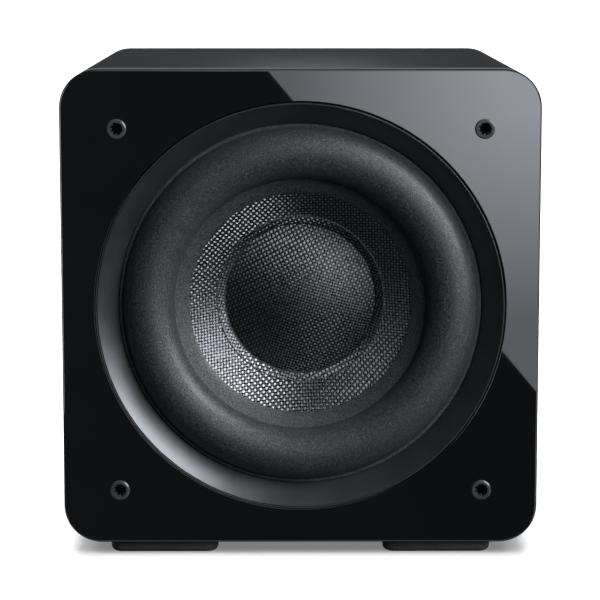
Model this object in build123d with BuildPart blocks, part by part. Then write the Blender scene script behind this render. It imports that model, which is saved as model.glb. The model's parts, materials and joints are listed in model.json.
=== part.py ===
"""A compact sealed 12-inch powered subwoofer, taken apart on the bench.

Millimetres, +Z up. The baffle faces -Y and the amplifier panel faces +Y. The origin is
under the middle of the whole object, on the surface that its feet stand on. Depths are
counted backwards from the front face of the baffle, and heights on the front and on the
back from the middle of the cabinet.
"""

import math
import os

from build123d import *

os.makedirs("parts", exist_ok=True)

# Cabinet
PANEL = 360.0
CORNER_R = 28.5
CABINET_DEPTH = 385.0
WALL_T = 18.0
BAFFLE_T = 24.0
INNER_BAFFLE_T = 18.0
REAR_T = 18.0
BRACE_DEPTH = 225.0
BRACE_T = 18.0
BRACE_WINDOW = 232.0
BRACE_WINDOW_R = 34.0
LINING_T = 20.0
LINING_START = 48.0
GLUE_GAP = 0.1
EDGE_R = 1.4

# Feet
FOOT_W = 82.5
FOOT_L = 46.0
FOOT_H = 11.0
FOOT_INSET = 12.0
FOOT_OFFSET_X = 104.6
FOOT_CORNER_R = 9.0
FOOT_EDGE_R = 4.5
FOOT_SCREW_SPACING = 50.0
FOOT_COUNTERBORE_R = 4.6
FOOT_COUNTERBORE_H = 5.0
FOOT_HOLE_R = 2.2
FOOT_SCREW_R = 1.7
FOOT_SCREW_HEAD_R = 4.2
FOOT_SCREW_HEAD_Z = 2.2
FOOT_SCREW_L = 16.0
HEX_SOCKET_DEPTH = 1.6

# How far things stand out of the cabinet at each end
SOCKET_PROUD = 1.5
AMP_PROUD = 15.0

# Grille sockets
SOCKET_SPACING = 275.0
SOCKET_DROP = 1.8
SOCKET_FLANGE_R = 7.55
SOCKET_FLANGE_LIFT = 0.02
SOCKET_BODY_R = 6.0
SOCKET_BODY_END = 15.0
SOCKET_HOLE_R = 6.1
SOCKET_HOLE_DEPTH = 16.0
SOCKET_MOUTH_R = 4.95
SOCKET_MOUTH_DEPTH = 1.2
SOCKET_BORE_R = 4.6
SOCKET_FLOOR = 13.5
SOCKET_TOOTH_R = 3.5
SOCKET_TOOTH_ROOT_R = 4.9
SOCKET_TOOTH_W = 1.5
SOCKET_TOOTH_START = 1.4
SOCKET_TOOTH_L = 10.0
SOCKET_TEETH = 8

# Driver
DRIVER_RISE = 1.0
TRIM_R = 154.5
TRIM_GAP = 0.7
TRIM_INNER_R = 138.0
TRIM_BEVEL_DEPTH = 15.5
RIM_DEPTH = 18.0
RIM_T = 4.5
RIM_R = 152.8
RIM_INNER_R = 138.8
BOLT_HOLE_R = 2.8
ROLL_OUTER_R = 135.2
ROLL_INNER_R = 95.6
ROLL_CREST_DEPTH = 1.6
SURROUND_R = 137.3
CONE_R = 84.6
CONE_DEPTH = 26.3
NECK_R = 33.0
NECK_DEPTH = 78.6
CONE_WALL = 1.7
CAP_R = 64.0
DOME_R = 58.0
DOME_RISE = 15.8
SPIDER_DEPTH = 95.0
SPIDER_R = 82.0
TOP_PLATE_DEPTH = 118.0
TOP_PLATE_T = 10.0
MAGNET_T = 20.0
PLATE_R = 78.0
MAGNET_R = 85.0
POLE_R = 31.5
POLE_VENT_R = 12.0
GAP_R = 35.3
MAGNET_INNER_R = 45.0
COIL_R = 34.5
LEG_COUNT = 6
BOLT_COUNT = 8
BOLT_CIRCLE_R = 146.5
TEE_NUT_BARREL_R = 3.3

# Amplifier, laid out as seen from behind: right and up from the middle of the rear panel
AMP_W = 250.0
AMP_H = 290.0
AMP_T = 3.0
AMP_GASKET_T = 1.0
AMP_CORNER_R = 6.0
AMP_OPENING_MARGIN = 12.0
AMP_SCREW_INSET = 6.0
AMP_SCREW_HOLE_R = 2.2
AMP_PILOT_R = 1.85
KNOB_SPOTS = {"gain": (-84.0, -8.0), "crossover": (-36.0, -8.0), "phase": (12.0, -8.0)}
TOGGLE_SPOT = (58.0, -8.0)
LED_SPOT = (92.0, -8.0)
RCA_SPOTS = [(-92.0, -62.0), (-66.0, -62.0)]
TRIGGER_SPOT = (-36.0, -62.0)
ROCKER_SPOT = (28.0, -92.0)
INLET_SPOT = (78.0, -84.0)
ROCKER_TILT = 8.0

# Worked out from the sizes above
OVERALL_DEPTH = SOCKET_PROUD + CABINET_DEPTH + AMP_PROUD
FRONT_Y = SOCKET_PROUD - OVERALL_DEPTH / 2
MIDDLE_Z = FOOT_H + PANEL / 2
DRIVER_Z = MIDDLE_Z + DRIVER_RISE
INSIDE = PANEL - 2 * WALL_T - 2 * GLUE_GAP
INSIDE_R = CORNER_R - WALL_T
AMP_OUTER_DEPTH = CABINET_DEPTH + AMP_GASKET_T + AMP_T
CONE_SLOPE = (NECK_DEPTH - CONE_DEPTH) / (CONE_R - NECK_R)
AMP_SCREW_X = AMP_W / 2 - AMP_SCREW_INSET
AMP_SCREW_Z = AMP_H / 2 - AMP_SCREW_INSET
AMP_SCREW_SPOTS = [(i * AMP_SCREW_X, j * AMP_SCREW_Z) for i in (-1, 1) for j in (-1, 0, 1)]
AMP_SCREW_SPOTS += [(i * AMP_W / 6, j * AMP_SCREW_Z) for i in (-1, 1) for j in (-1, 1)]
FOOT_FRONT_Y = FRONT_Y + FOOT_INSET + FOOT_L / 2
FOOT_REAR_Y = FRONT_Y + CABINET_DEPTH - FOOT_INSET - FOOT_L / 2

DRIVER_PROFILE = Plane(origin=(0, FRONT_Y, DRIVER_Z))
DRIVER_AXIS = Axis((0, FRONT_Y, DRIVER_Z), (0, 1, 0))


def front(depth, z=MIDDLE_Z):
    """The plane parallel to the baffle at this depth, facing forwards."""
    return Plane(origin=(0, FRONT_Y + depth, z), x_dir=(1, 0, 0), z_dir=(0, -1, 0))


def rear(depth, spot=(0.0, 0.0)):
    """The plane at this depth facing backwards, its x to the right as seen from behind."""
    right, up = spot
    return Plane(
        origin=(-right, FRONT_Y + depth, MIDDLE_Z + up), x_dir=(-1, 0, 0), z_dir=(0, 1, 0)
    )


def rear_profile(spot):
    """The plane of (radius, depth) outlines turned about a control's own axis."""
    right, up = spot
    return Plane(origin=(-right, FRONT_Y, MIDDLE_Z + up))


def rear_axis(spot):
    """The axis of a control on the amplifier panel."""
    right, up = spot
    return Axis((-right, FRONT_Y, MIDDLE_Z + up), (0, 1, 0))


def cone_front(radius):
    """The depth of the cone's front face at a radius."""
    return CONE_DEPTH + (CONE_R - radius) * CONE_SLOPE


def lead_radii(points):
    """As large an arc as each corner's two runs allow."""
    radii = []
    for a, b, c in zip(points, points[1:], points[2:]):
        before = Vector(*b) - Vector(*a)
        after = Vector(*c) - Vector(*b)
        half_turn = math.radians(before.get_angle(after)) / 2
        radii.append(0.45 * min(before.length, after.length) / math.tan(half_turn))
    return radii


pieces = {}

# ---------------------------------------------------------------- cabinet

with BuildPart() as cabinet_wrap:
    with BuildSketch(front(BAFFLE_T)):
        RectangleRounded(PANEL, PANEL, CORNER_R)
        RectangleRounded(PANEL - 2 * WALL_T, PANEL - 2 * WALL_T, INSIDE_R, mode=Mode.SUBTRACT)
    extrude(amount=BAFFLE_T - CABINET_DEPTH)
    fillet(cabinet_wrap.faces().sort_by(Axis.Y)[-1].outer_wire().edges(), EDGE_R)
    # pilot holes for the foot screws
    for x in (-FOOT_OFFSET_X, FOOT_OFFSET_X):
        for y in (FOOT_FRONT_Y, FOOT_REAR_Y):
            with Locations(Location((x, y, FOOT_H))):
                with GridLocations(FOOT_SCREW_SPACING, 1, 2, 1):
                    Cylinder(FOOT_SCREW_R + 0.05, 24, mode=Mode.SUBTRACT)
pieces["cabinet_wrap"] = cabinet_wrap

with BuildPart() as front_baffle:
    with BuildSketch(front(0)):
        RectangleRounded(PANEL, PANEL, CORNER_R)
    extrude(amount=-BAFFLE_T)
    fillet(front_baffle.faces().sort_by(Axis.Y)[0].edges(), EDGE_R)
    with BuildSketch(front(0, DRIVER_Z)):
        Circle(TRIM_R + TRIM_GAP)
    extrude(amount=-BAFFLE_T, mode=Mode.SUBTRACT)
    hole_edge = front_baffle.edges().filter_by(GeomType.CIRCLE)
    fillet(hole_edge.group_by(Axis.Y)[0].sort_by(SortBy.RADIUS)[-1], 0.5)
    with BuildSketch(front(0, MIDDLE_Z - SOCKET_DROP)):
        with GridLocations(SOCKET_SPACING, SOCKET_SPACING, 2, 2):
            Circle(SOCKET_HOLE_R)
    extrude(amount=-SOCKET_HOLE_DEPTH, mode=Mode.SUBTRACT)
pieces["front_baffle"] = front_baffle

with BuildPart() as inner_baffle:
    with BuildSketch(front(BAFFLE_T)):
        RectangleRounded(INSIDE, INSIDE, INSIDE_R)
        with Locations((0, DRIVER_RISE)):
            Circle(RIM_INNER_R + 0.8, mode=Mode.SUBTRACT)
            with PolarLocations(BOLT_CIRCLE_R, BOLT_COUNT, 180 / BOLT_COUNT):
                Circle(TEE_NUT_BARREL_R + 0.1, mode=Mode.SUBTRACT)
    extrude(amount=-INNER_BAFFLE_T)
pieces["inner_baffle"] = inner_baffle

with BuildPart() as rear_panel:
    with BuildSketch(rear(CABINET_DEPTH)):
        RectangleRounded(INSIDE, INSIDE, INSIDE_R)
        RectangleRounded(
            AMP_W - 2 * AMP_OPENING_MARGIN,
            AMP_H - 2 * AMP_OPENING_MARGIN,
            AMP_CORNER_R,
            mode=Mode.SUBTRACT,
        )
    extrude(amount=-REAR_T)
    with BuildSketch(rear(CABINET_DEPTH)):
        with Locations(*AMP_SCREW_SPOTS):
            Circle(AMP_PILOT_R)
    extrude(amount=-14, mode=Mode.SUBTRACT)
pieces["rear_panel"] = rear_panel

with BuildPart() as window_brace:
    with BuildSketch(front(BRACE_DEPTH)):
        RectangleRounded(INSIDE, INSIDE, INSIDE_R)
        RectangleRounded(BRACE_WINDOW, BRACE_WINDOW, BRACE_WINDOW_R, mode=Mode.SUBTRACT)
    extrude(amount=-BRACE_T)
pieces["window_brace"] = window_brace

with BuildPart() as acoustic_lining:
    with BuildSketch(front(LINING_START)):
        RectangleRounded(INSIDE - 1, INSIDE - 1, INSIDE_R)
        RectangleRounded(INSIDE - 2 * LINING_T, INSIDE - 2 * LINING_T, 6, mode=Mode.SUBTRACT)
    extrude(amount=LINING_START + 1 - BRACE_DEPTH)
pieces["acoustic_lining"] = acoustic_lining

# ---------------------------------------------------------------- feet

FOOT_PLACES = {
    "foot_front_left": (-1, 0),
    "foot_front_right": (1, 0),
    "foot_rear_left": (-1, 1),
    "foot_rear_right": (1, 1),
}


def foot_plane(side, end, z):
    """The level plane through a foot's middle."""
    return Plane(origin=(side * FOOT_OFFSET_X, (FOOT_FRONT_Y, FOOT_REAR_Y)[end], z))


for label, (side, end) in FOOT_PLACES.items():
    with BuildPart() as foot:
        with BuildSketch(foot_plane(side, end, 0)):
            RectangleRounded(FOOT_W, FOOT_L, FOOT_CORNER_R)
        extrude(amount=FOOT_H)
        fillet(foot.faces().sort_by(Axis.Z)[0].edges(), FOOT_EDGE_R)
        with BuildSketch(foot_plane(side, end, 0)):
            with GridLocations(FOOT_SCREW_SPACING, 1, 2, 1):
                Circle(FOOT_COUNTERBORE_R)
        extrude(amount=FOOT_COUNTERBORE_H, mode=Mode.SUBTRACT)
        with BuildSketch(foot_plane(side, end, FOOT_COUNTERBORE_H)):
            with GridLocations(FOOT_SCREW_SPACING, 1, 2, 1):
                Circle(FOOT_HOLE_R)
        extrude(amount=FOOT_H - FOOT_COUNTERBORE_H, mode=Mode.SUBTRACT)
    pieces[label] = foot

with BuildPart() as foot_screws:
    for side, end in FOOT_PLACES.values():
        with BuildSketch(foot_plane(side, end, FOOT_SCREW_HEAD_Z)):
            with GridLocations(FOOT_SCREW_SPACING, 1, 2, 1):
                Circle(FOOT_SCREW_HEAD_R)
        extrude(amount=FOOT_COUNTERBORE_H - FOOT_SCREW_HEAD_Z)
        with BuildSketch(foot_plane(side, end, FOOT_SCREW_HEAD_Z)):
            with GridLocations(FOOT_SCREW_SPACING, 1, 2, 1):
                RegularPolygon(1.9, 6)
        extrude(amount=HEX_SOCKET_DEPTH, mode=Mode.SUBTRACT)
        with BuildSketch(foot_plane(side, end, FOOT_COUNTERBORE_H)):
            with GridLocations(FOOT_SCREW_SPACING, 1, 2, 1):
                Circle(FOOT_SCREW_R)
        extrude(amount=FOOT_SCREW_L)
pieces["foot_screws"] = foot_screws

# ---------------------------------------------------------------- grille sockets

SOCKET_PLACES = {
    "grille_socket_top_left": (-1, 1),
    "grille_socket_top_right": (1, 1),
    "grille_socket_bottom_left": (-1, -1),
    "grille_socket_bottom_right": (1, -1),
}
for label, (side, level) in SOCKET_PLACES.items():
    x = side * SOCKET_SPACING / 2
    z = MIDDLE_Z - SOCKET_DROP + level * SOCKET_SPACING / 2
    with BuildPart() as socket:
        with BuildSketch(Plane(origin=(x, FRONT_Y, z))):
            Polygon(
                (SOCKET_MOUTH_R, -SOCKET_PROUD),
                (SOCKET_FLANGE_R - 1, -SOCKET_PROUD),
                (SOCKET_FLANGE_R, -0.5),
                (SOCKET_FLANGE_R, -SOCKET_FLANGE_LIFT),
                (SOCKET_BODY_R, -SOCKET_FLANGE_LIFT),
                (SOCKET_BODY_R, SOCKET_BODY_END),
                (0, SOCKET_BODY_END),
                (0, SOCKET_FLOOR),
                (SOCKET_BORE_R, SOCKET_FLOOR),
                (SOCKET_BORE_R, SOCKET_MOUTH_DEPTH),
                (SOCKET_MOUTH_R, SOCKET_MOUTH_DEPTH),
                align=None,
            )
        revolve(axis=Axis((x, FRONT_Y, z), (0, 1, 0)))
        with BuildSketch(front(SOCKET_TOOTH_START, z)):
            with Locations((x, 0)):
                with PolarLocations((SOCKET_TOOTH_R + SOCKET_TOOTH_ROOT_R) / 2, SOCKET_TEETH):
                    Rectangle(SOCKET_TOOTH_ROOT_R - SOCKET_TOOTH_R, SOCKET_TOOTH_W)
        extrude(amount=-SOCKET_TOOTH_L)
    pieces[label] = socket

# ---------------------------------------------------------------- driver, fixed parts

with BuildPart() as driver_gasket:
    with BuildSketch(front(RIM_DEPTH + RIM_T, DRIVER_Z)):
        Circle(152.5)
        Circle(140, mode=Mode.SUBTRACT)
        with PolarLocations(BOLT_CIRCLE_R, BOLT_COUNT, 180 / BOLT_COUNT):
            Circle(BOLT_HOLE_R, mode=Mode.SUBTRACT)
    extrude(amount=RIM_DEPTH + RIM_T - BAFFLE_T)
pieces["driver_gasket"] = driver_gasket

SHELF_DEPTH = 96.0
SHELF_END = SHELF_DEPTH + 3.5
SHELF_R = 88.0
SPIDER_SEAT_R = 83.0
VENT_OUTER_R = 76.5
VENT_INNER_R = 72.5
WINDOW_DEPTH = 36.0
SEAT_DEPTH = TOP_PLATE_DEPTH - 4
with BuildPart() as basket:
    with BuildSketch(DRIVER_PROFILE):
        Polygon(
            (131.5, RIM_DEPTH),
            (RIM_R, RIM_DEPTH),
            (RIM_R, RIM_DEPTH + RIM_T),
            (RIM_INNER_R, RIM_DEPTH + RIM_T),
            (RIM_INNER_R, 34),
            (SHELF_R, 93),
            (SHELF_R, SHELF_END),
            (VENT_OUTER_R, SHELF_END),
            (VENT_OUTER_R, TOP_PLATE_DEPTH),
            (46, TOP_PLATE_DEPTH),
            (46, SEAT_DEPTH),
            (VENT_INNER_R, SEAT_DEPTH),
            (VENT_INNER_R, SHELF_END),
            (66, SHELF_END),
            (66, SHELF_DEPTH),
            (SPIDER_SEAT_R, SHELF_DEPTH),
            (SPIDER_SEAT_R, 92.5),
            (134.3, 32.5),
            (131.5, 28),
            align=None,
        )
    revolve(axis=DRIVER_AXIS)
    # windows between the legs, and smaller vents under the spider
    with BuildSketch(front(WINDOW_DEPTH, DRIVER_Z)) as windows:
        Circle(127)
        Circle(94, mode=Mode.SUBTRACT)
        with PolarLocations(110, LEG_COUNT):
            Rectangle(44, 20, mode=Mode.SUBTRACT)
        fillet(windows.vertices(), 5)
    extrude(amount=WINDOW_DEPTH - SHELF_DEPTH, mode=Mode.SUBTRACT)
    with BuildSketch(front(SHELF_END + 1.5, DRIVER_Z)):
        Circle(VENT_OUTER_R + 2.5)
        Circle(VENT_INNER_R - 2.5, mode=Mode.SUBTRACT)
        with PolarLocations(75, LEG_COUNT):
            Rectangle(20, 26, mode=Mode.SUBTRACT)
    extrude(amount=-10, mode=Mode.SUBTRACT)
    with BuildSketch(front(RIM_DEPTH, DRIVER_Z)):
        with PolarLocations(BOLT_CIRCLE_R, BOLT_COUNT, 180 / BOLT_COUNT):
            Circle(BOLT_HOLE_R)
    extrude(amount=-RIM_T, mode=Mode.SUBTRACT)
pieces["basket"] = basket

SCREW_HEAD_R = 4.4
SCREW_HEAD_H = 2.8
SCREW_R = 2.45
SCREW_L = 28.0
with BuildPart() as basket_screws:
    with BuildSketch(front(RIM_DEPTH - SCREW_HEAD_H, DRIVER_Z)):
        with PolarLocations(BOLT_CIRCLE_R, BOLT_COUNT, 180 / BOLT_COUNT):
            Circle(SCREW_HEAD_R)
            RegularPolygon(2.3, 6, mode=Mode.SUBTRACT)
    extrude(amount=1 - SCREW_HEAD_H)
    with BuildSketch(front(RIM_DEPTH - 1, DRIVER_Z)):
        with PolarLocations(BOLT_CIRCLE_R, BOLT_COUNT, 180 / BOLT_COUNT):
            Circle(SCREW_HEAD_R)
    extrude(amount=-1)
    with BuildSketch(front(RIM_DEPTH, DRIVER_Z)):
        with PolarLocations(BOLT_CIRCLE_R, BOLT_COUNT, 180 / BOLT_COUNT):
            Circle(SCREW_R)
    extrude(amount=-SCREW_L)
pieces["basket_screws"] = basket_screws

TEE_NUT_END = BAFFLE_T + INNER_BAFFLE_T
TEE_NUT_L = 12.0

with BuildPart() as tee_nuts:
    with BuildSketch(front(TEE_NUT_END - TEE_NUT_L, DRIVER_Z)):
        with PolarLocations(BOLT_CIRCLE_R, BOLT_COUNT, 180 / BOLT_COUNT):
            Circle(TEE_NUT_BARREL_R)
            Circle(SCREW_R + 0.05, mode=Mode.SUBTRACT)
    extrude(amount=-TEE_NUT_L)
    with BuildSketch(front(TEE_NUT_END, DRIVER_Z)):
        with PolarLocations(BOLT_CIRCLE_R, BOLT_COUNT, 180 / BOLT_COUNT):
            Circle(9)
            Circle(SCREW_R + 0.05, mode=Mode.SUBTRACT)
    extrude(amount=-1.2)
pieces["tee_nuts"] = tee_nuts

LIP_R = 0.75
LIP_BASE = -0.3
SCREW_GROOVE_START = RIM_DEPTH - 3.4
SCREW_GROOVE_INNER_R = 141.2
SCREW_GROOVE_OUTER_R = 151.8
with BuildPart() as trim_ring:
    with BuildSketch(DRIVER_PROFILE):
        with BuildLine():
            Polyline(
                (TRIM_R, LIP_BASE),
                (TRIM_R, RIM_DEPTH),
                (SCREW_GROOVE_OUTER_R, RIM_DEPTH),
                (SCREW_GROOVE_OUTER_R, SCREW_GROOVE_START),
                (SCREW_GROOVE_INNER_R, SCREW_GROOVE_START),
                (SCREW_GROOVE_INNER_R, RIM_DEPTH),
                (TRIM_INNER_R, RIM_DEPTH),
                (TRIM_INNER_R, TRIM_BEVEL_DEPTH),
                (TRIM_R - 2 * LIP_R, LIP_BASE),
            )
            ThreePointArc(
                (TRIM_R - 2 * LIP_R, LIP_BASE),
                (TRIM_R - LIP_R, LIP_BASE - LIP_R),
                (TRIM_R, LIP_BASE),
            )
        make_face()
    revolve(axis=DRIVER_AXIS)
pieces["trim_ring"] = trim_ring

TERMINAL_R = 97.0
TERMINAL_DEPTH = 94.0
TERMINAL_OFFSET = 8.0
with BuildPart() as terminal_block:
    with BuildSketch(front(TERMINAL_DEPTH, DRIVER_Z)):
        with Locations((0, -94.9)):
            RectangleRounded(28, 13.6, 2)
            with GridLocations(2 * TERMINAL_OFFSET, 1, 2, 1):
                Circle(1.2, mode=Mode.SUBTRACT)
    extrude(amount=-9)
pieces["terminal_block"] = terminal_block

with BuildPart() as top_plate:
    with BuildSketch(front(TOP_PLATE_DEPTH, DRIVER_Z)):
        Circle(PLATE_R)
        Circle(GAP_R, mode=Mode.SUBTRACT)
    extrude(amount=-TOP_PLATE_T)
pieces["top_plate"] = top_plate

MAGNET_START = TOP_PLATE_DEPTH + TOP_PLATE_T
for index, label in enumerate(("magnet_ring_front", "magnet_ring_rear")):
    with BuildPart() as magnet:
        with BuildSketch(front(MAGNET_START + index * MAGNET_T, DRIVER_Z)):
            Circle(MAGNET_R)
            Circle(MAGNET_INNER_R, mode=Mode.SUBTRACT)
        extrude(amount=-MAGNET_T)
        chamfer(magnet.edges().group_by(Axis.Y)[0].sort_by(SortBy.RADIUS)[-1], 0.8)
    pieces[label] = magnet

YOKE_START = MAGNET_START + 2 * MAGNET_T
YOKE_END = YOKE_START + 12
with BuildPart() as yoke:
    with BuildSketch(DRIVER_PROFILE):
        Polygon(
            (POLE_VENT_R, TOP_PLATE_DEPTH - 2),
            (POLE_R - 1, TOP_PLATE_DEPTH - 2),
            (POLE_R, TOP_PLATE_DEPTH - 1),
            (POLE_R, YOKE_START),
            (PLATE_R, YOKE_START),
            (PLATE_R, YOKE_END - 5),
            (PLATE_R - 5, YOKE_END),
            (18, YOKE_END),
            (POLE_VENT_R, YOKE_END - 8),
            align=None,
        )
    revolve(axis=DRIVER_AXIS)
pieces["yoke"] = yoke

SHORTING_RING_L = 10.5
with BuildPart() as shorting_ring:
    with BuildSketch(front(YOKE_START - SHORTING_RING_L, DRIVER_Z)):
        Circle(37)
        Circle(POLE_R + 0.05, mode=Mode.SUBTRACT)
    extrude(amount=-SHORTING_RING_L)
pieces["shorting_ring"] = shorting_ring

BOOT_INNER_R = MAGNET_R + 0.3
BOOT_R = MAGNET_R + 2.8
BOOT_LIP_R = 68.0
with BuildPart() as magnet_boot:
    with BuildSketch(DRIVER_PROFILE):
        Polygon(
            (BOOT_INNER_R, MAGNET_START - 1),
            (BOOT_R, MAGNET_START - 1),
            (BOOT_R, YOKE_END + 0.5),
            (BOOT_R - 1.5, YOKE_END + 2),
            (BOOT_LIP_R, YOKE_END + 2),
            (BOOT_LIP_R, YOKE_END + 0.2),
            (BOOT_INNER_R, YOKE_END + 0.2),
            align=None,
        )
    revolve(axis=DRIVER_AXIS)
pieces["magnet_boot"] = magnet_boot

# ---------------------------------------------------------------- driver, moving parts

# The roll's outline: the front face from the outer flange inwards, then the back face outwards
SURROUND_T = 1.4
ROLL_STEP = 1.2
FLANGE_DEPTH = RIM_DEPTH - 1.7
FLANGE_BACK = FLANGE_DEPTH + SURROUND_T
VALLEY_DEPTH = 19.4
CREST_R = (ROLL_OUTER_R + ROLL_INNER_R) / 2
CONE_EDGE_DEPTH = CONE_DEPTH - GLUE_GAP
outer_back = (ROLL_OUTER_R - ROLL_STEP, FLANGE_BACK)
inner_back = (ROLL_INNER_R + ROLL_STEP, VALLEY_DEPTH + ROLL_STEP)
with BuildPart() as surround:
    with BuildSketch(DRIVER_PROFILE):
        with BuildLine():
            Line((SURROUND_R, FLANGE_DEPTH), (ROLL_OUTER_R, FLANGE_DEPTH))
            ThreePointArc(
                (ROLL_OUTER_R, FLANGE_DEPTH),
                (CREST_R, ROLL_CREST_DEPTH),
                (ROLL_INNER_R, VALLEY_DEPTH),
            )
            Polyline(
                (ROLL_INNER_R, VALLEY_DEPTH),
                (CONE_R, CONE_EDGE_DEPTH - SURROUND_T),
                (CONE_R, CONE_EDGE_DEPTH),
                inner_back,
            )
            ThreePointArc(inner_back, (CREST_R, ROLL_CREST_DEPTH + SURROUND_T), outer_back)
            Polyline(outer_back, (SURROUND_R, FLANGE_BACK), (SURROUND_R, FLANGE_DEPTH))
        make_face()
    revolve(axis=DRIVER_AXIS)
pieces["surround"] = surround

LIP_OUTER_R = 95.0
LIP_DEPTH = 21.65
with BuildPart() as cone:
    with BuildSketch(DRIVER_PROFILE):
        Polygon(
            (LIP_OUTER_R, LIP_DEPTH),
            (CONE_R, CONE_DEPTH),
            (NECK_R, NECK_DEPTH),
            (NECK_R, NECK_DEPTH + CONE_WALL),
            (CONE_R, CONE_DEPTH + CONE_WALL),
            (LIP_OUTER_R, LIP_DEPTH + CONE_WALL),
            align=None,
        )
    revolve(axis=DRIVER_AXIS)
pieces["cone"] = cone

CAP_T = 1.4
DOME_SPHERE_R = (DOME_R**2 + DOME_RISE**2) / (2 * DOME_RISE)


def dome_depth(radius, layer):
    """The depth of one face of the dome, which is part of a sphere, at a radius."""
    return layer - DOME_RISE + DOME_SPHERE_R - math.sqrt(DOME_SPHERE_R**2 - radius**2)


with BuildPart() as dust_cap:
    with BuildSketch(DRIVER_PROFILE):
        with BuildLine():
            back_layer = cone_front(DOME_R) - GLUE_GAP
            for layer in (back_layer - CAP_T, back_layer):
                Line((CAP_R, layer + cone_front(CAP_R) - cone_front(DOME_R)), (DOME_R, layer))
                ThreePointArc(
                    (DOME_R, layer),
                    (DOME_R / 2, dome_depth(DOME_R / 2, layer)),
                    (0, dome_depth(0, layer)),
                )
            for radius, depth in (
                (CAP_R, cone_front(CAP_R) - GLUE_GAP),
                (0, dome_depth(0, back_layer)),
            ):
                Line((radius, depth - CAP_T), (radius, depth))
        make_face()
    revolve(axis=DRIVER_AXIS)
pieces["dust_cap"] = dust_cap

FORMER_START = NECK_DEPTH - 4
FORMER_END = 143.0
COIL_L = 36.0
COIL_END = FORMER_END - 2
with BuildPart() as voice_coil_former:
    with BuildSketch(front(FORMER_START, DRIVER_Z)):
        Circle(NECK_R - 0.05)
        Circle(NECK_R - 0.5, mode=Mode.SUBTRACT)
    extrude(amount=FORMER_START - FORMER_END)
pieces["voice_coil_former"] = voice_coil_former

with BuildPart() as voice_coil:
    with BuildSketch(front(COIL_END - COIL_L, DRIVER_Z)):
        Circle(COIL_R)
        Circle(NECK_R, mode=Mode.SUBTRACT)
    extrude(amount=-COIL_L)
pieces["voice_coil"] = voice_coil

SPIDER_T = 0.7
SPIDER_WAVES = 5
SPIDER_INNER_R = 33.1
SPIDER_WAVE_START = 37.0
SPIDER_WAVE_END = 65.0
HALF_WAVE = (SPIDER_WAVE_END - SPIDER_WAVE_START) / (2 * SPIDER_WAVES)
with BuildPart() as spider:
    with BuildSketch(DRIVER_PROFILE):
        with BuildLine():
            for layer in (SPIDER_DEPTH - SPIDER_T, SPIDER_DEPTH):
                Line((SPIDER_INNER_R, layer), (SPIDER_WAVE_START, layer))
                for half in range(2 * SPIDER_WAVES):
                    start = SPIDER_WAVE_START + half * HALF_WAVE
                    swing = 1.2 if half % 2 else -1.2
                    ThreePointArc(
                        (start, layer),
                        (start + HALF_WAVE / 2, layer + swing),
                        (start + HALF_WAVE, layer),
                    )
                Line((SPIDER_WAVE_END, layer), (SPIDER_R, layer))
            Line((SPIDER_INNER_R, SPIDER_DEPTH - SPIDER_T), (SPIDER_INNER_R, SPIDER_DEPTH))
            Line((SPIDER_R, SPIDER_DEPTH - SPIDER_T), (SPIDER_R, SPIDER_DEPTH))
        make_face()
    revolve(axis=DRIVER_AXIS)
pieces["spider"] = spider

TINSEL_R = 0.8
with BuildPart() as tinsel_leads:
    for x in (-TERMINAL_OFFSET, TERMINAL_OFFSET):
        route = [
            (x, FRONT_Y + TERMINAL_DEPTH - 0.4, DRIVER_Z - TERMINAL_R),
            (x, FRONT_Y + 78, DRIVER_Z - TERMINAL_R),
            (x, FRONT_Y + 71, DRIVER_Z - 86),
            (x, FRONT_Y + 72, DRIVER_Z - 69),
            (x, FRONT_Y + 64.5, DRIVER_Z - 56.5),
        ]
        radii = lead_radii(route)
        print("tinsel lead radii", [round(r, 1) for r in radii])
        with BuildLine() as path:
            FilletPolyline(*route, radius=radii)
        with BuildSketch(Plane(origin=route[0], z_dir=(0, -1, 0))):
            Circle(TINSEL_R)
        sweep(path=path.line)
pieces["tinsel_leads"] = tinsel_leads

# ---------------------------------------------------------------- leads to the amplifier

LEAD_R = 1.5
LEAD_ROUTES = {
    "speaker_lead_positive": [
        (-8, 103.4, -97),
        (-10, 150, -101),
        (-16, 205, -97),
        (-26, 255, -81),
        (-30, 303, -57),
        (-28, 338, -36),
        (-27, 364.9, -15),
    ],
    "speaker_lead_negative": [
        (8, 103.4, -97),
        (4, 150, -100),
        (-4, 205, -95),
        (-15, 255, -79),
        (-21, 303, -55),
        (-19, 338, -34),
        (-17, 364.9, -13),
    ],
}
for label, waypoints in LEAD_ROUTES.items():
    route = [(x, FRONT_Y + depth, DRIVER_Z + up) for x, depth, up in waypoints]
    radii = lead_radii(route)
    print(label, "radii", [round(r) for r in radii])
    with BuildPart() as lead:
        with BuildLine() as path:
            FilletPolyline(*route, radius=radii)
        with BuildSketch(Plane(origin=path.line @ 0, z_dir=path.line % 0)):
            Circle(LEAD_R)
        sweep(path=path.line)
    full = math.pi * LEAD_R**2 * sum(edge.length for edge in path.edges())
    print(label, "volume over section times length", round(lead.part.volume / full, 4))
    pieces[label] = lead

# ---------------------------------------------------------------- amplifier panel

with BuildPart() as amp_gasket:
    with BuildSketch(rear(CABINET_DEPTH)):
        RectangleRounded(AMP_W, AMP_H, AMP_CORNER_R)
        RectangleRounded(
            AMP_W - 2 * AMP_OPENING_MARGIN + 2,
            AMP_H - 2 * AMP_OPENING_MARGIN + 2,
            AMP_CORNER_R,
            mode=Mode.SUBTRACT,
        )
        with Locations(*AMP_SCREW_SPOTS):
            Circle(AMP_SCREW_HOLE_R, mode=Mode.SUBTRACT)
    extrude(amount=AMP_GASKET_T)
pieces["amp_gasket"] = amp_gasket

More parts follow.
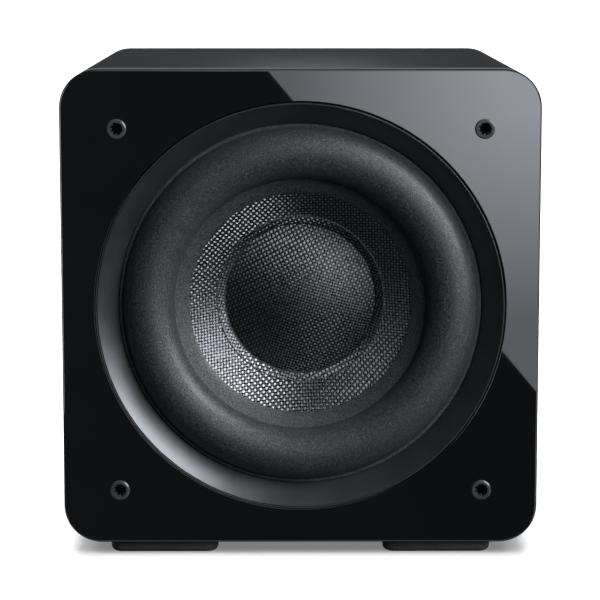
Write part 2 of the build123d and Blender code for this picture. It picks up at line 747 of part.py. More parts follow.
PANEL_FIT = 0.1
BUSHING_HOLE_R = 3.6
JACK_R = 4.0
LED_R = 2.5
RCA_R = 4.15
INLET_BODY = (27.0, 47.0)
INLET_FACE = (32.0, 52.0)
ROCKER_BODY = (13.0, 20.0)
with BuildPart() as amp_plate:
    with BuildSketch(rear(AMP_OUTER_DEPTH - AMP_T)):
        RectangleRounded(AMP_W, AMP_H, AMP_CORNER_R)
        with Locations(*AMP_SCREW_SPOTS):
            Circle(AMP_SCREW_HOLE_R, mode=Mode.SUBTRACT)
        with Locations(*KNOB_SPOTS.values()):
            Circle(BUSHING_HOLE_R, mode=Mode.SUBTRACT)
        with Locations(TOGGLE_SPOT, TRIGGER_SPOT):
            Circle(JACK_R + PANEL_FIT, mode=Mode.SUBTRACT)
        with Locations(LED_SPOT):
            Circle(LED_R + PANEL_FIT, mode=Mode.SUBTRACT)
        with Locations(*RCA_SPOTS):
            Circle(RCA_R + PANEL_FIT, mode=Mode.SUBTRACT)
        with Locations(ROCKER_SPOT):
            Rectangle(
                ROCKER_BODY[0] + 2 * PANEL_FIT, ROCKER_BODY[1] + 2 * PANEL_FIT, mode=Mode.SUBTRACT
            )
        with Locations(INLET_SPOT):
            Rectangle(
                INLET_BODY[0] + 2 * PANEL_FIT, INLET_BODY[1] + 2 * PANEL_FIT, mode=Mode.SUBTRACT
            )
    extrude(amount=AMP_T)
    fillet(amp_plate.faces().sort_by(Axis.Y)[-1].outer_wire().edges(), 0.8)
pieces["amp_plate"] = amp_plate

SINK_W = 206.0
SINK_H = 104.0
SINK_SPOT = (0.0, 78.0)
SINK_BASE_T = 2.5
FIN_COUNT = 19
FIN_T = 2.0
with BuildPart() as heat_sink:
    with BuildSketch(rear(AMP_OUTER_DEPTH, SINK_SPOT)):
        RectangleRounded(SINK_W, SINK_H, 2)
    extrude(amount=SINK_BASE_T)
    with BuildSketch(rear(AMP_OUTER_DEPTH + SINK_BASE_T, SINK_SPOT)):
        with GridLocations((SINK_W - FIN_T) / (FIN_COUNT - 1), 1, FIN_COUNT, 1):
            Rectangle(FIN_T, SINK_H - 4)
    extrude(amount=CABINET_DEPTH + AMP_PROUD - AMP_OUTER_DEPTH - SINK_BASE_T)
    fin_tips = heat_sink.faces().sort_by(Axis.Y)[-FIN_COUNT:]
    fillet(fin_tips.edges().filter_by(Axis.Z), 0.7)
pieces["heat_sink"] = heat_sink

# Each screw has a shank in the rear panel and a stepped head with a cross recess
AMP_SCREW_R = 1.75
AMP_SCREW_START = CABINET_DEPTH - 12
AMP_HEAD_STEP = 1.1
with BuildPart() as amp_screws:
    with BuildSketch(rear(AMP_SCREW_START)):
        with Locations(*AMP_SCREW_SPOTS):
            Circle(AMP_SCREW_R)
    extrude(amount=AMP_OUTER_DEPTH - AMP_SCREW_START)
    with BuildSketch(rear(AMP_OUTER_DEPTH)):
        with Locations(*AMP_SCREW_SPOTS):
            Circle(3.8)
    extrude(amount=AMP_HEAD_STEP)
    with BuildSketch(rear(AMP_OUTER_DEPTH + AMP_HEAD_STEP)):
        with Locations(*AMP_SCREW_SPOTS):
            Circle(3.3)
            Rectangle(4.4, 0.9, mode=Mode.SUBTRACT)
            Rectangle(0.9, 4.4, mode=Mode.SUBTRACT)
    extrude(amount=AMP_HEAD_STEP)
pieces["amp_screws"] = amp_screws

COVER_W = 216.0
COVER_H = 256.0
COVER_DEPTH = 300.0
COVER_T = 1.2
COVER_END = AMP_OUTER_DEPTH - AMP_T
with BuildPart() as amp_cover:
    with BuildSketch(rear(COVER_DEPTH)):
        RectangleRounded(COVER_W, COVER_H, 3)
    extrude(amount=COVER_END - COVER_DEPTH)
    with BuildSketch(rear(COVER_DEPTH + COVER_T)):
        RectangleRounded(COVER_W - 2 * COVER_T, COVER_H - 2 * COVER_T, 2)
    extrude(amount=COVER_END - COVER_DEPTH - COVER_T, mode=Mode.SUBTRACT)
    # the hole where the speaker leads pass
    with BuildSketch(rear(COVER_DEPTH, (25.5, -56.5))):
        SlotOverall(30, 16)
    extrude(amount=COVER_T, mode=Mode.SUBTRACT)
pieces["amp_cover"] = amp_cover

BOARD_W = 196.0
BOARD_H = 156.0
BOARD_DEPTH = 366.0
BOARD_END = BOARD_DEPTH + 1.6
BOARD_RISE = 44.0
with BuildPart() as amp_board:
    with BuildSketch(rear(BOARD_DEPTH, (0, BOARD_RISE))):
        Rectangle(BOARD_W, BOARD_H)
    extrude(amount=BOARD_END - BOARD_DEPTH)
    with BuildSketch(rear(BOARD_END, (0, BOARD_RISE))):
        with GridLocations(BOARD_W - 12, BOARD_H - 12, 2, 2):
            Circle(3)
    extrude(amount=COVER_END - BOARD_END)
pieces["amp_board"] = amp_board

with BuildPart() as transformer:
    with BuildSketch(rear(COVER_DEPTH + COVER_T, (-52, -78))):
        Circle(38)
        Circle(12, mode=Mode.SUBTRACT)
    extrude(amount=34)
    fillet(transformer.edges().filter_by(GeomType.CIRCLE), 6)
pieces["transformer"] = transformer

with BuildPart() as filter_capacitors:
    with BuildSketch(rear(BOARD_DEPTH, (-45, 70))):
        with GridLocations(32, 32, 2, 2):
            Circle(12.5)
    extrude(amount=-36)
    fillet(filter_capacitors.edges().group_by(Axis.Y)[0], 1.2)
pieces["filter_capacitors"] = filter_capacitors

# ---------------------------------------------------------------- controls

POT_W = 16.0
POT_T = 9.0
NUT_T = 2.0
BUSHING_R = 3.5
BUSHING_END = AMP_OUTER_DEPTH + 3.2
SHAFT_R = 3.0
with BuildPart() as control_pots:
    for spot in KNOB_SPOTS.values():
        with BuildSketch(rear(COVER_END - POT_T, spot)):
            RectangleRounded(POT_W, POT_W, 1.5)
        extrude(amount=POT_T)
        with BuildSketch(rear(COVER_END, spot)):
            Circle(BUSHING_R)
            Circle(SHAFT_R + 0.06, mode=Mode.SUBTRACT)
        extrude(amount=BUSHING_END - COVER_END)
        with BuildSketch(rear(AMP_OUTER_DEPTH, spot)):
            RegularPolygon(5, 6, major_radius=False)
            Circle(BUSHING_R, mode=Mode.SUBTRACT)
        extrude(amount=NUT_T)
pieces["control_pots"] = control_pots

KNOB_R = 9.5
KNOB_START = AMP_OUTER_DEPTH + 0.5
KNOB_END = CABINET_DEPTH + AMP_PROUD
KNOB_POCKET_R = 6.6
KNOB_POCKET_END = BUSHING_END + 0.8
SHAFT_START = COVER_END + 0.4
for name, spot in KNOB_SPOTS.items():
    with BuildPart() as knob:
        with BuildSketch(rear_profile(spot)):
            Polygon(
                (KNOB_POCKET_R, KNOB_START),
                (KNOB_R, KNOB_START),
                (KNOB_R, KNOB_START + 2),
                (KNOB_R - 0.6, KNOB_END - 0.9),
                (KNOB_R - 1.4, KNOB_END),
                (0, KNOB_END),
                (0, KNOB_POCKET_END),
                (KNOB_POCKET_R, KNOB_POCKET_END),
                align=None,
            )
        revolve(axis=rear_axis(spot))
        # grip flutes round the edge and the pointer's groove on the face
        with BuildSketch(rear(KNOB_START + 2.6, spot)):
            with PolarLocations(KNOB_R + 0.2, 18, 10):
                Circle(0.8)
        extrude(amount=KNOB_END - KNOB_START, mode=Mode.SUBTRACT)
        with BuildSketch(rear(KNOB_END - 0.5, spot)):
            with Locations((0, 4.4)):
                RectangleRounded(1.1, 6.4, 0.5)
        extrude(amount=1, mode=Mode.SUBTRACT)
        # the potentiometer's shaft, which turns with the knob
        with BuildSketch(rear(SHAFT_START, spot)):
            Circle(SHAFT_R)
        extrude(amount=KNOB_POCKET_END - SHAFT_START)
    pieces[f"{name}_knob"] = knob

TOGGLE_PIVOT_DEPTH = AMP_OUTER_DEPTH + 0.5
TOGGLE_BODY_L = 12.0
TOGGLE_NUT_R = 6.2
TOGGLE_NUT_END = AMP_OUTER_DEPTH + 1.8
with BuildPart() as toggle_switch_body:
    with BuildSketch(rear(COVER_END - TOGGLE_BODY_L, TOGGLE_SPOT)):
        RectangleRounded(8, 13, 0.8)
    extrude(amount=TOGGLE_BODY_L)
    with BuildSketch(rear_profile(TOGGLE_SPOT)):
        Polygon(
            (0, COVER_END),
            (JACK_R, COVER_END),
            (JACK_R, AMP_OUTER_DEPTH),
            (TOGGLE_NUT_R, AMP_OUTER_DEPTH),
            (TOGGLE_NUT_R, TOGGLE_NUT_END),
            (JACK_R, TOGGLE_NUT_END),
            (JACK_R, AMP_OUTER_DEPTH + 4.4),
            (3.3, AMP_OUTER_DEPTH + 4.4),
            (2.3, AMP_OUTER_DEPTH + 0.4),
            (2.3, AMP_OUTER_DEPTH - 2),
            (0, AMP_OUTER_DEPTH - 2),
            align=None,
        )
    revolve(axis=rear_axis(TOGGLE_SPOT))
pieces["toggle_switch_body"] = toggle_switch_body

TOGGLE_TIP_R = 1.6
with BuildPart() as mode_toggle:
    with BuildSketch(rear_profile(TOGGLE_SPOT)):
        with Locations((0, TOGGLE_PIVOT_DEPTH)):
            Circle(1.9)
        Polygon(
            (0, TOGGLE_PIVOT_DEPTH),
            (1.15, TOGGLE_PIVOT_DEPTH),
            (TOGGLE_TIP_R, KNOB_END - 0.8),
            (TOGGLE_TIP_R - 0.6, KNOB_END),
            (0, KNOB_END),
            align=None,
        )
        with Locations((0, TOGGLE_PIVOT_DEPTH)):
            Rectangle(4, 30, align=(Align.MAX, Align.CENTER), mode=Mode.SUBTRACT)
    revolve(axis=rear_axis(TOGGLE_SPOT))
pieces["mode_toggle"] = mode_toggle

LED_START = COVER_END - 4
with BuildPart() as status_led:
    with BuildSketch(rear(LED_START, LED_SPOT)):
        Circle(LED_R)
    extrude(amount=AMP_OUTER_DEPTH + 1 - LED_START)
    fillet(status_led.faces().sort_by(Axis.Y)[-1].edges(), 0.9)
pieces["status_led"] = status_led

# Each phono jack: a narrower threaded shank, a nut, and the sleeve that a plug's shell grips
RCA_START = COVER_END - 8
RCA_END = AMP_OUTER_DEPTH + 10.0
RCA_SHANK_R = 3.95
RCA_BORE_R = 3.3
RCA_WASHER_T = 0.85
RCA_NUT_START = AMP_OUTER_DEPTH + 0.9
RCA_NUT_T = 1.6
RCA_NUT_END = RCA_NUT_START + RCA_NUT_T
with BuildPart() as rca_jacks:
    for spot in RCA_SPOTS:
        with BuildSketch(rear_profile(spot)):
            Polygon(
                (RCA_BORE_R, RCA_START),
                (RCA_SHANK_R, RCA_START),
                (RCA_SHANK_R, RCA_NUT_END),
                (RCA_R, RCA_NUT_END),
                (RCA_R, RCA_END - 0.4),
                (RCA_R - 0.4, RCA_END),
                (RCA_BORE_R, RCA_END),
                align=None,
            )
        revolve(axis=rear_axis(spot))
        with BuildSketch(rear(RCA_NUT_START, spot)):
            RegularPolygon(5.8, 6, major_radius=False)
            Circle(RCA_SHANK_R - 0.2, mode=Mode.SUBTRACT)
        extrude(amount=RCA_NUT_T)
pieces["rca_jacks"] = rca_jacks

with BuildPart() as rca_insulators:
    for spot in RCA_SPOTS:
        with BuildSketch(rear(RCA_START, spot)):
            Circle(RCA_BORE_R - 0.05)
            Circle(1.65, mode=Mode.SUBTRACT)
        extrude(amount=RCA_END - 1.2 - RCA_START)
        with BuildSketch(rear(AMP_OUTER_DEPTH, spot)):
            Circle(7)
            Circle(RCA_SHANK_R + 0.05, mode=Mode.SUBTRACT)
        extrude(amount=RCA_WASHER_T)
pieces["rca_insulators"] = rca_insulators

TRIGGER_BODY_L = 10.0
TRIGGER_BORE_R = 1.8
with BuildPart() as trigger_jack:
    with BuildSketch(rear(COVER_END - TRIGGER_BODY_L, TRIGGER_SPOT)):
        RectangleRounded(12, 10, 1)
        Circle(TRIGGER_BORE_R, mode=Mode.SUBTRACT)
    extrude(amount=TRIGGER_BODY_L)
    with BuildSketch(rear(COVER_END, TRIGGER_SPOT)):
        Circle(JACK_R)
        Circle(TRIGGER_BORE_R, mode=Mode.SUBTRACT)
    extrude(amount=AMP_T + 3)
    with BuildSketch(rear(AMP_OUTER_DEPTH, TRIGGER_SPOT)):
        RegularPolygon(5.4, 6, major_radius=False)
        Circle(JACK_R - 0.1, mode=Mode.SUBTRACT)
    extrude(amount=NUT_T)
pieces["trigger_jack"] = trigger_jack

# The rocker rests with its upper end pressed in
BEZEL_T = 2.0
ROCKER_BODY_L = 16.0
ROCKER_OPENING = (11.2, 18.0)
ROCKER_PIVOT_DEPTH = AMP_OUTER_DEPTH - 3
with BuildPart() as rocker_housing:
    with BuildSketch(rear(AMP_OUTER_DEPTH - ROCKER_BODY_L, ROCKER_SPOT)):
        Rectangle(*ROCKER_BODY)
    extrude(amount=ROCKER_BODY_L)
    with BuildSketch(rear(AMP_OUTER_DEPTH, ROCKER_SPOT)):
        RectangleRounded(ROCKER_BODY[0] + 3, ROCKER_BODY[1] + 3, 1.5)
    extrude(amount=BEZEL_T)
    chamfer(rocker_housing.faces().sort_by(Axis.Y)[-1].edges(), 0.6)
    with BuildSketch(rear(ROCKER_PIVOT_DEPTH - 6, ROCKER_SPOT)):
        Rectangle(*ROCKER_OPENING)
    extrude(amount=ROCKER_PIVOT_DEPTH + BEZEL_T + 6, mode=Mode.SUBTRACT)
pieces["rocker_housing"] = rocker_housing

ROCKER_HALF = 7.9
ROCKER_W = 10.4
rocker_side = Plane(
    origin=(-ROCKER_SPOT[0], FRONT_Y + ROCKER_PIVOT_DEPTH, MIDDLE_Z + ROCKER_SPOT[1]),
    x_dir=(0, 1, 0),
    z_dir=(1, 0, 0),
)
with BuildPart() as power_rocker:
    with BuildSketch(rocker_side):
        Polygon(
            (-2, -ROCKER_HALF),
            (-2, ROCKER_HALF),
            (5.4, ROCKER_HALF),
            (3.6, 0),
            (5.4, -ROCKER_HALF),
            align=None,
            rotation=ROCKER_TILT,
        )
    extrude(amount=ROCKER_W / 2, both=True)
    fillet(power_rocker.edges().filter_by(Axis.X).sort_by(Axis.Y)[-2:], 0.7)
pieces["power_rocker"] = power_rocker

# The mains inlet: a shrouded three-pin socket above a drawer for its fuse
INLET_PROUD = 2.0
INLET_END = AMP_OUTER_DEPTH + INLET_PROUD
INLET_L = 30.0
CAVITY = (24.4, 16.4)
CAVITY_RISE = 11.0
CAVITY_FLOOR = INLET_END - 17
DRAWER_SLOT = (22.0, 9.4)
DRAWER_DROP = 13.0
DRAWER_FLOOR = INLET_END - 26
DRAWER_GAP = 0.3
with BuildPart() as iec_inlet:
    with BuildSketch(rear(INLET_END - INLET_L, INLET_SPOT)):
        Rectangle(*INLET_BODY)
    extrude(amount=INLET_L - INLET_PROUD)
    with BuildSketch(rear(AMP_OUTER_DEPTH, INLET_SPOT)):
        RectangleRounded(*INLET_FACE, 2.5)
    extrude(amount=INLET_PROUD)
    chamfer(iec_inlet.faces().sort_by(Axis.Y)[-1].edges(), 0.6)
    with BuildSketch(rear(CAVITY_FLOOR, INLET_SPOT)) as cavity:
        with Locations((0, CAVITY_RISE)):
            Rectangle(*CAVITY)
        chamfer(cavity.vertices().group_by(Axis.Z)[-1], 4)
        fillet(cavity.vertices().group_by(Axis.Z)[0], 1.5)
    extrude(amount=INLET_END - CAVITY_FLOOR, mode=Mode.SUBTRACT)
    with BuildSketch(rear(DRAWER_FLOOR, INLET_SPOT)):
        with Locations((0, -DRAWER_DROP)):
            Rectangle(*DRAWER_SLOT)
    extrude(amount=INLET_END - DRAWER_FLOOR, mode=Mode.SUBTRACT)
pieces["iec_inlet"] = iec_inlet

PIN_SPOTS = [(-7.0, CAVITY_RISE - 2), (0.0, CAVITY_RISE + 2), (7.0, CAVITY_RISE - 2)]
with BuildPart() as iec_pins:
    with BuildSketch(rear(CAVITY_FLOOR, INLET_SPOT)):
        with Locations(*PIN_SPOTS):
            RectangleRounded(2, 4, 0.6)
    extrude(amount=11)
    chamfer(iec_pins.faces().sort_by(Axis.Y)[-3:].edges(), 0.4)
pieces["iec_pins"] = iec_pins

DRAWER_BACK = DRAWER_FLOOR + 0.6
DRAWER_PROUD = 0.6
FUSE_L = 20.0
FUSE_R = 2.6
FUSE_DEPTH = DRAWER_BACK + 1.2
drawer_spot = (INLET_SPOT[0], INLET_SPOT[1] - DRAWER_DROP)
with BuildPart() as fuse_drawer:
    with BuildSketch(rear(DRAWER_BACK, drawer_spot)):
        Rectangle(DRAWER_SLOT[0] - 2 * DRAWER_GAP, DRAWER_SLOT[1] - 2 * DRAWER_GAP)
    extrude(amount=INLET_END + DRAWER_PROUD - DRAWER_BACK)
    chamfer(fuse_drawer.faces().sort_by(Axis.Y)[-1].edges(), 0.4)
    with BuildSketch(rear(FUSE_DEPTH - 0.2, drawer_spot)):
        with Locations((0, 2)):
            Rectangle(2 * FUSE_R + 0.6, DRAWER_SLOT[1] - 2)
    extrude(amount=FUSE_L + 0.4, mode=Mode.SUBTRACT)
    # the nick that a fingernail or a screwdriver pulls
    with BuildSketch(rear(INLET_END + DRAWER_PROUD - 1, drawer_spot)):
        RectangleRounded(7, 2, 0.6)
    extrude(amount=1, mode=Mode.SUBTRACT)
pieces["fuse_drawer"] = fuse_drawer

with BuildPart() as fuse:
    with BuildSketch(rear(FUSE_DEPTH, drawer_spot)):
        with Locations((0, 1.35)):
            Circle(FUSE_R)
    extrude(amount=FUSE_L)
    fillet(fuse.edges().filter_by(GeomType.CIRCLE), 0.4)
pieces["fuse"] = fuse

for label, piece in pieces.items():
    piece.part.label = label
    export_step(piece.part, f"parts/{label}.step")
print(len(pieces), "nodes,", "overall depth", OVERALL_DEPTH, "front", FRONT_Y)
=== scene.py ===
"""The looks of a compact powered subwoofer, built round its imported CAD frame.

Metres, +Z up, the baffle facing -Y. Depths are counted backwards from the baffle's front face
and radii from the driver's axis, as in the CAD model.
"""

import json
import math

import bmesh
import bpy
import numpy as np
from mathutils import Matrix, Vector


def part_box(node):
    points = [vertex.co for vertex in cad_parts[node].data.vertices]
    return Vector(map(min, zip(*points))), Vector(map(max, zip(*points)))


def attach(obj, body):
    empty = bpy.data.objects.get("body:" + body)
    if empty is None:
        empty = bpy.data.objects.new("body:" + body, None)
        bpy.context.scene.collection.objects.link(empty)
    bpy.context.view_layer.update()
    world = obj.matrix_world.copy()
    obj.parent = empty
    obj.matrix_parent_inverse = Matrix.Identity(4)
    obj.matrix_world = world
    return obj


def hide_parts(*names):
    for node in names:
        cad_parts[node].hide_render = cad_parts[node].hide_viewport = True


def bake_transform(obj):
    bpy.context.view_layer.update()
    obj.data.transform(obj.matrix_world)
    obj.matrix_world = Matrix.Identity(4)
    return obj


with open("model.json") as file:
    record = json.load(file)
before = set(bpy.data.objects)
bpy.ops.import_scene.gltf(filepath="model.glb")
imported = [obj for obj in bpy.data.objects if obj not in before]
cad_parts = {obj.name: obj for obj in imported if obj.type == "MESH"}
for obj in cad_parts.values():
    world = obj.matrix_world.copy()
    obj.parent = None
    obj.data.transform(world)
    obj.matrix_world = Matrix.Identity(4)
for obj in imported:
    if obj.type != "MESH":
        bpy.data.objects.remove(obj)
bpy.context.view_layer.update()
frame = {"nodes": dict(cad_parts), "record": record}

MM = 0.001
CABINET = "cabinet"
CONE_BODY = "cone_assembly"

# ---------------------------------------------------------------- sizes, from the frame

baffle_low, baffle_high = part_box("front_baffle")
trim_low, trim_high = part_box("trim_ring")
FRONT_Y = baffle_low[1]
DRIVER_X = (trim_low[0] + trim_high[0]) / 2
DRIVER_Z = (trim_low[2] + trim_high[2]) / 2
MIDDLE_Z = (baffle_low[2] + baffle_high[2]) / 2
PANEL = baffle_high[0] - baffle_low[0]
TRIM_R = (trim_high[0] - trim_low[0]) / 2

# The driver's outline, as the CAD model turns it
TRIM_INNER_R = 138 * MM
TRIM_BEVEL_DEPTH = 15.5 * MM
RIM_DEPTH = 18 * MM
ROLL_OUTER_R = 135.2 * MM
ROLL_INNER_R = 95.6 * MM
ROLL_CREST_DEPTH = 1.6 * MM
FLANGE_DEPTH = 16.3 * MM
VALLEY_DEPTH = 19.4 * MM
SURROUND_T = 1.4 * MM
SURROUND_R = 137.3 * MM
CONE_R = 84.6 * MM
CONE_DEPTH = 26.3 * MM
CONE_WALL = 1.7 * MM
NECK_R = 33 * MM
NECK_DEPTH = 78.6 * MM
CAP_R = 64 * MM
CAP_T = 1.4 * MM
DOME_R = 58 * MM
DOME_RISE = 15.8 * MM
GLUE_GAP = 0.1 * MM
CONE_SLOPE = (NECK_DEPTH - CONE_DEPTH) / (CONE_R - NECK_R)
DOME_SPHERE_R = (DOME_R**2 + DOME_RISE**2) / (2 * DOME_RISE)

SPIDER_DEPTH = 95 * MM
SPIDER_T = 0.7 * MM
SPIDER_R = 82 * MM
SPIDER_INNER_R = 33.1 * MM
SPIDER_WAVES = 5
SPIDER_WAVE_START = 37 * MM
SPIDER_WAVE_END = 65 * MM
SPIDER_SWING = 1.2 * MM
TINSEL_X = 8 * MM
TINSEL_R = 0.8 * MM
TINSEL_ROUTE = [(93.6, -97), (78, -97), (71, -86), (72, -69), (64.5, -56.5)]

# Woven cloth. Warp and weft are one fibre, and their different greys are painted light: on the cone
# the weft is a painted highlight, and on the dome the weft is painted shade.
TOW_PITCH = 2.2 * MM
TOW_CREST = 0.24 * MM
CELL_STEPS = 6
CONE_WARP_SHADED_GREY = (0.34, 0.347, 0.365)
CONE_WEFT_LIT_GREY = (0.62, 0.632, 0.665)
DOME_WARP_LIT_GREY = (0.33, 0.337, 0.355)
DOME_WEFT_SHADED_GREY = (0.12, 0.122, 0.13)
CONE_WEAVE_TURN = math.radians(3)
DOME_WEAVE_TURN = math.radians(-17)

# The amplifier's panel, seen from behind: places are (right, up) from the panel's middle
PLATE_DEPTH = 389 * MM
KNOB_FACE_DEPTH = 400 * MM
KNOB_SPOTS = {"gain_knob": (-84, -8), "crossover_knob": (-36, -8), "phase_knob": (12, -8)}
TOGGLE_SPOT = (58, -8)
RCA_SPOTS = [(-92, -62), (-66, -62)]
TRIGGER_SPOT = (-36, -62)
ROCKER_SPOT = (28, -92)
ROCKER_PIVOT_DEPTH = 386 * MM
ROCKER_TILT = math.radians(8)
ROCKER_STANDOFF = 3.6 * MM
ROCKER_SLOPE = 1.8 / 7.9
PRINT_T = 0.05 * MM

# Camera, and the brightness of what the gloss lacquer mirrors
CAMERA_PLACE = (-0.007, -1.9993, 0.4605)
CAMERA_PITCH = math.radians(8.3)
CAMERA_YAW = math.radians(0.21)
CAMERA_LENS = 144.96
CARD_DISTANCE = 0.5
CARD_GLOW = (7.5, 2.6)
REAR_CARD_GLOW = 0.19
FLOOR_CARD_GLOW = 0.9
FLOOR_GLOW = 0.2
FLOOR_R = 3.0
SWEEP_R = 1.5
BACKDROP_TOP = 8.0
WORLD_COLOUR = (0.038, 0.042, 0.049)
CARD_COLOUR = (0.86, 0.92, 1.0)
WHITE = (1, 1, 1)
COOL = (0.93, 0.965, 1.0)
COOLER = (0.86, 0.93, 1.0)


def cone_front(radius):
    """The depth of the cone's front face at a radius."""
    return CONE_DEPTH + (CONE_R - radius) * CONE_SLOPE


def cap_front(radius):
    """The depth of the dust cap's front face: a flange on the cone, then the dome."""
    layer = cone_front(DOME_R) - GLUE_GAP - CAP_T
    on_cone = cone_front(radius) - GLUE_GAP - CAP_T
    within = np.sqrt(np.maximum(DOME_SPHERE_R**2 - np.minimum(radius, DOME_R) ** 2, 0))
    on_dome = layer - DOME_RISE + DOME_SPHERE_R - within
    return np.where(radius > DOME_R, on_cone, on_dome)


# ---------------------------------------------------------------- mesh helpers


def make_mesh(name, points, faces, sharp_angle=35):
    """A smooth-shaded mesh object whose edges past the angle stay sharp."""
    mesh = bpy.data.meshes.new(name)
    mesh.from_pydata([tuple(p) for p in points], [], faces)
    mesh.update()
    mesh.shade_smooth()
    mesh.set_sharp_from_angle(angle=math.radians(sharp_angle))
    piece = bpy.data.objects.new(name, mesh)
    bpy.context.collection.objects.link(piece)
    return piece


def arc(centre, radius, start, end, steps):
    """Points along an arc in (radius, depth), angles in degrees."""
    angles = [math.radians(start + (end - start) * i / steps) for i in range(steps + 1)]
    return [(centre[0] + radius * math.cos(a), centre[1] + radius * math.sin(a)) for a in angles]


def flat(start, end, margin=0.4 * MM):
    """A straight run with a point just inside each end, which keeps its shading flat."""
    (r0, d0), (r1, d1) = start, end
    share = margin / math.hypot(r1 - r0, d1 - d0)
    places = (0, share, 2 * share, 1 - 2 * share, 1 - share, 1)
    return [(r0 + (r1 - r0) * t, d0 + (d1 - d0) * t) for t in places]


def through(a, b, c, steps):
    """Points along the circular arc from a through b to c."""
    ax, ay = a
    bx, by = b
    cx, cy = c
    d = 2 * (ax * (by - cy) + bx * (cy - ay) + cx * (ay - by))
    aa, bb, cc = ax**2 + ay**2, bx**2 + by**2, cx**2 + cy**2
    ux = (aa * (by - cy) + bb * (cy - ay) + cc * (ay - by)) / d
    uy = (aa * (cx - bx) + bb * (ax - cx) + cc * (bx - ax)) / d
    start = math.atan2(ay - uy, ax - ux)
    middle = math.atan2(by - uy, bx - ux)
    end = math.atan2(cy - uy, cx - ux)
    turn = (end - start) % (2 * math.pi)
    if (middle - start) % (2 * math.pi) > turn:
        turn -= 2 * math.pi
    radius = math.hypot(ax - ux, ay - uy)
    angles = [start + turn * i / steps for i in range(steps + 1)]
    return [(ux + radius * math.cos(t), uy + radius * math.sin(t)) for t in angles]


def turned(name, outline, segments=192):
    """A closed (radius, depth) outline turned about the driver's axis."""
    count = len(outline)
    points = []
    for s in range(segments):
        angle = 2 * math.pi * s / segments
        for radius, depth in outline:
            x = DRIVER_X + radius * math.cos(angle)
            z = DRIVER_Z + radius * math.sin(angle)
            points.append((x, FRONT_Y + depth, z))
    faces = []
    for s in range(segments):
        following = (s + 1) % segments
        for i in range(count):
            j = (i + 1) % count
            faces.append(
                (s * count + i, s * count + j, following * count + j, following * count + i)
            )
    piece = make_mesh(name, points, faces)
    tidy_mesh(piece)
    return piece


def tidy_mesh(piece):
    """Joins points that coincide, drops empty faces and turns every face outwards."""
    work = bmesh.new()
    work.from_mesh(piece.data)
    bmesh.ops.remove_doubles(work, verts=work.verts, dist=1e-6)
    bmesh.ops.dissolve_degenerate(work, edges=work.edges, dist=1e-7)
    bmesh.ops.recalc_face_normals(work, faces=work.faces)
    work.to_mesh(piece.data)
    work.free()
    piece.data.update()


# ---------------------------------------------------------------- material helpers


def material(name, base, roughness, metallic=0.0):
    """A new material, with these values on the shader's own sockets."""
    made = bpy.data.materials.new(name)
    made.use_nodes = True
    shader = made.node_tree.nodes["Principled BSDF"]
    shader.inputs["Base Color"].default_value = (*base, 1)
    shader.inputs["Roughness"].default_value = roughness
    shader.inputs["Metallic"].default_value = metallic
    return made


def node(made, kind, **values):
    """Adds a node and sets its properties or, by name, its input sockets."""
    added = made.node_tree.nodes.new(kind)
    for key, value in values.items():
        if hasattr(added, key):
            setattr(added, key, value)
        else:
            added.inputs[key.replace("_", " ")].default_value = value
    return added


def link(made, start, end):
    """Joins two sockets."""
    made.node_tree.links.new(start, end)


def shader_of(made):
    """The material's Principled node."""
    return made.node_tree.nodes["Principled BSDF"]


def noise(made, scale, detail=4, stretch=(1, 1, 1), roughness=0.5):
    """Noise in object space, its scale in repeats per metre."""
    place = node(made, "ShaderNodeTexCoord")
    mapping = node(made, "ShaderNodeMapping")
    mapping.inputs["Scale"].default_value = stretch
    link(made, place.outputs["Object"], mapping.inputs["Vector"])
    texture = node(made, "ShaderNodeTexNoise", Scale=scale, Detail=detail, Roughness=roughness)
    link(made, mapping.outputs["Vector"], texture.inputs["Vector"])
    return texture.outputs["Fac"]


def ramp(made, factor, *stops):
    """A colour ramp of (place, colour) stops over a factor."""
    added = node(made, "ShaderNodeValToRGB")
    elements = added.color_ramp.elements
    while len(elements) < len(stops):
        elements.new(0.5)
    for element, (place, colour) in zip(elements, stops):
        element.position = place
        element.color = (*colour, 1)
    link(made, factor, added.inputs["Fac"])
    return added.outputs["Color"]


def spread(made, factor, low, high, from_low=0.3, from_high=0.7):
    """Maps a factor to the range low to high."""
    added = node(made, "ShaderNodeMapRange")
    added.inputs["From Min"].default_value = from_low
    added.inputs["From Max"].default_value = from_high
    added.inputs["To Min"].default_value = low
    added.inputs["To Max"].default_value = high
    link(made, factor, added.inputs["Value"])
    return added.outputs["Result"]


def bump(made, height, strength, distance):
    """Drives the shader's normal from a height, instead of any earlier bump."""
    added = node(made, "ShaderNodeBump")
    added.inputs["Strength"].default_value = strength
    added.inputs["Distance"].default_value = distance
    link(made, height, added.inputs["Height"])
    link(made, added.outputs["Normal"], shader_of(made).inputs["Normal"])


def tinted(base, factor):
    """The colour made lighter or darker by a factor."""
    return tuple(min(c * factor, 1.0) for c in base)


def varied(
    name, base, roughness, metallic=0.0, patch=40, grain=900, vary=0.25, grain_depth=0.02
):
    """A surface with soft patches of colour and roughness and a fine grain."""
    made = material(name, base, roughness, metallic)
    shader = shader_of(made)
    patches = noise(made, patch, 5)
    colour = ramp(
        made, patches, (0.3, tinted(base, 1 - vary)), (0.5, base), (0.7, tinted(base, 1 + vary))
    )
    link(made, colour, shader.inputs["Base Color"])
    link(
        made,
        spread(made, patches, roughness * 0.85, min(roughness * 1.15, 1)),
        shader.inputs["Roughness"],
    )
    bump(made, noise(made, grain, 3), 0.5, grain_depth * MM)
    return made


# ---------------------------------------------------------------- materials


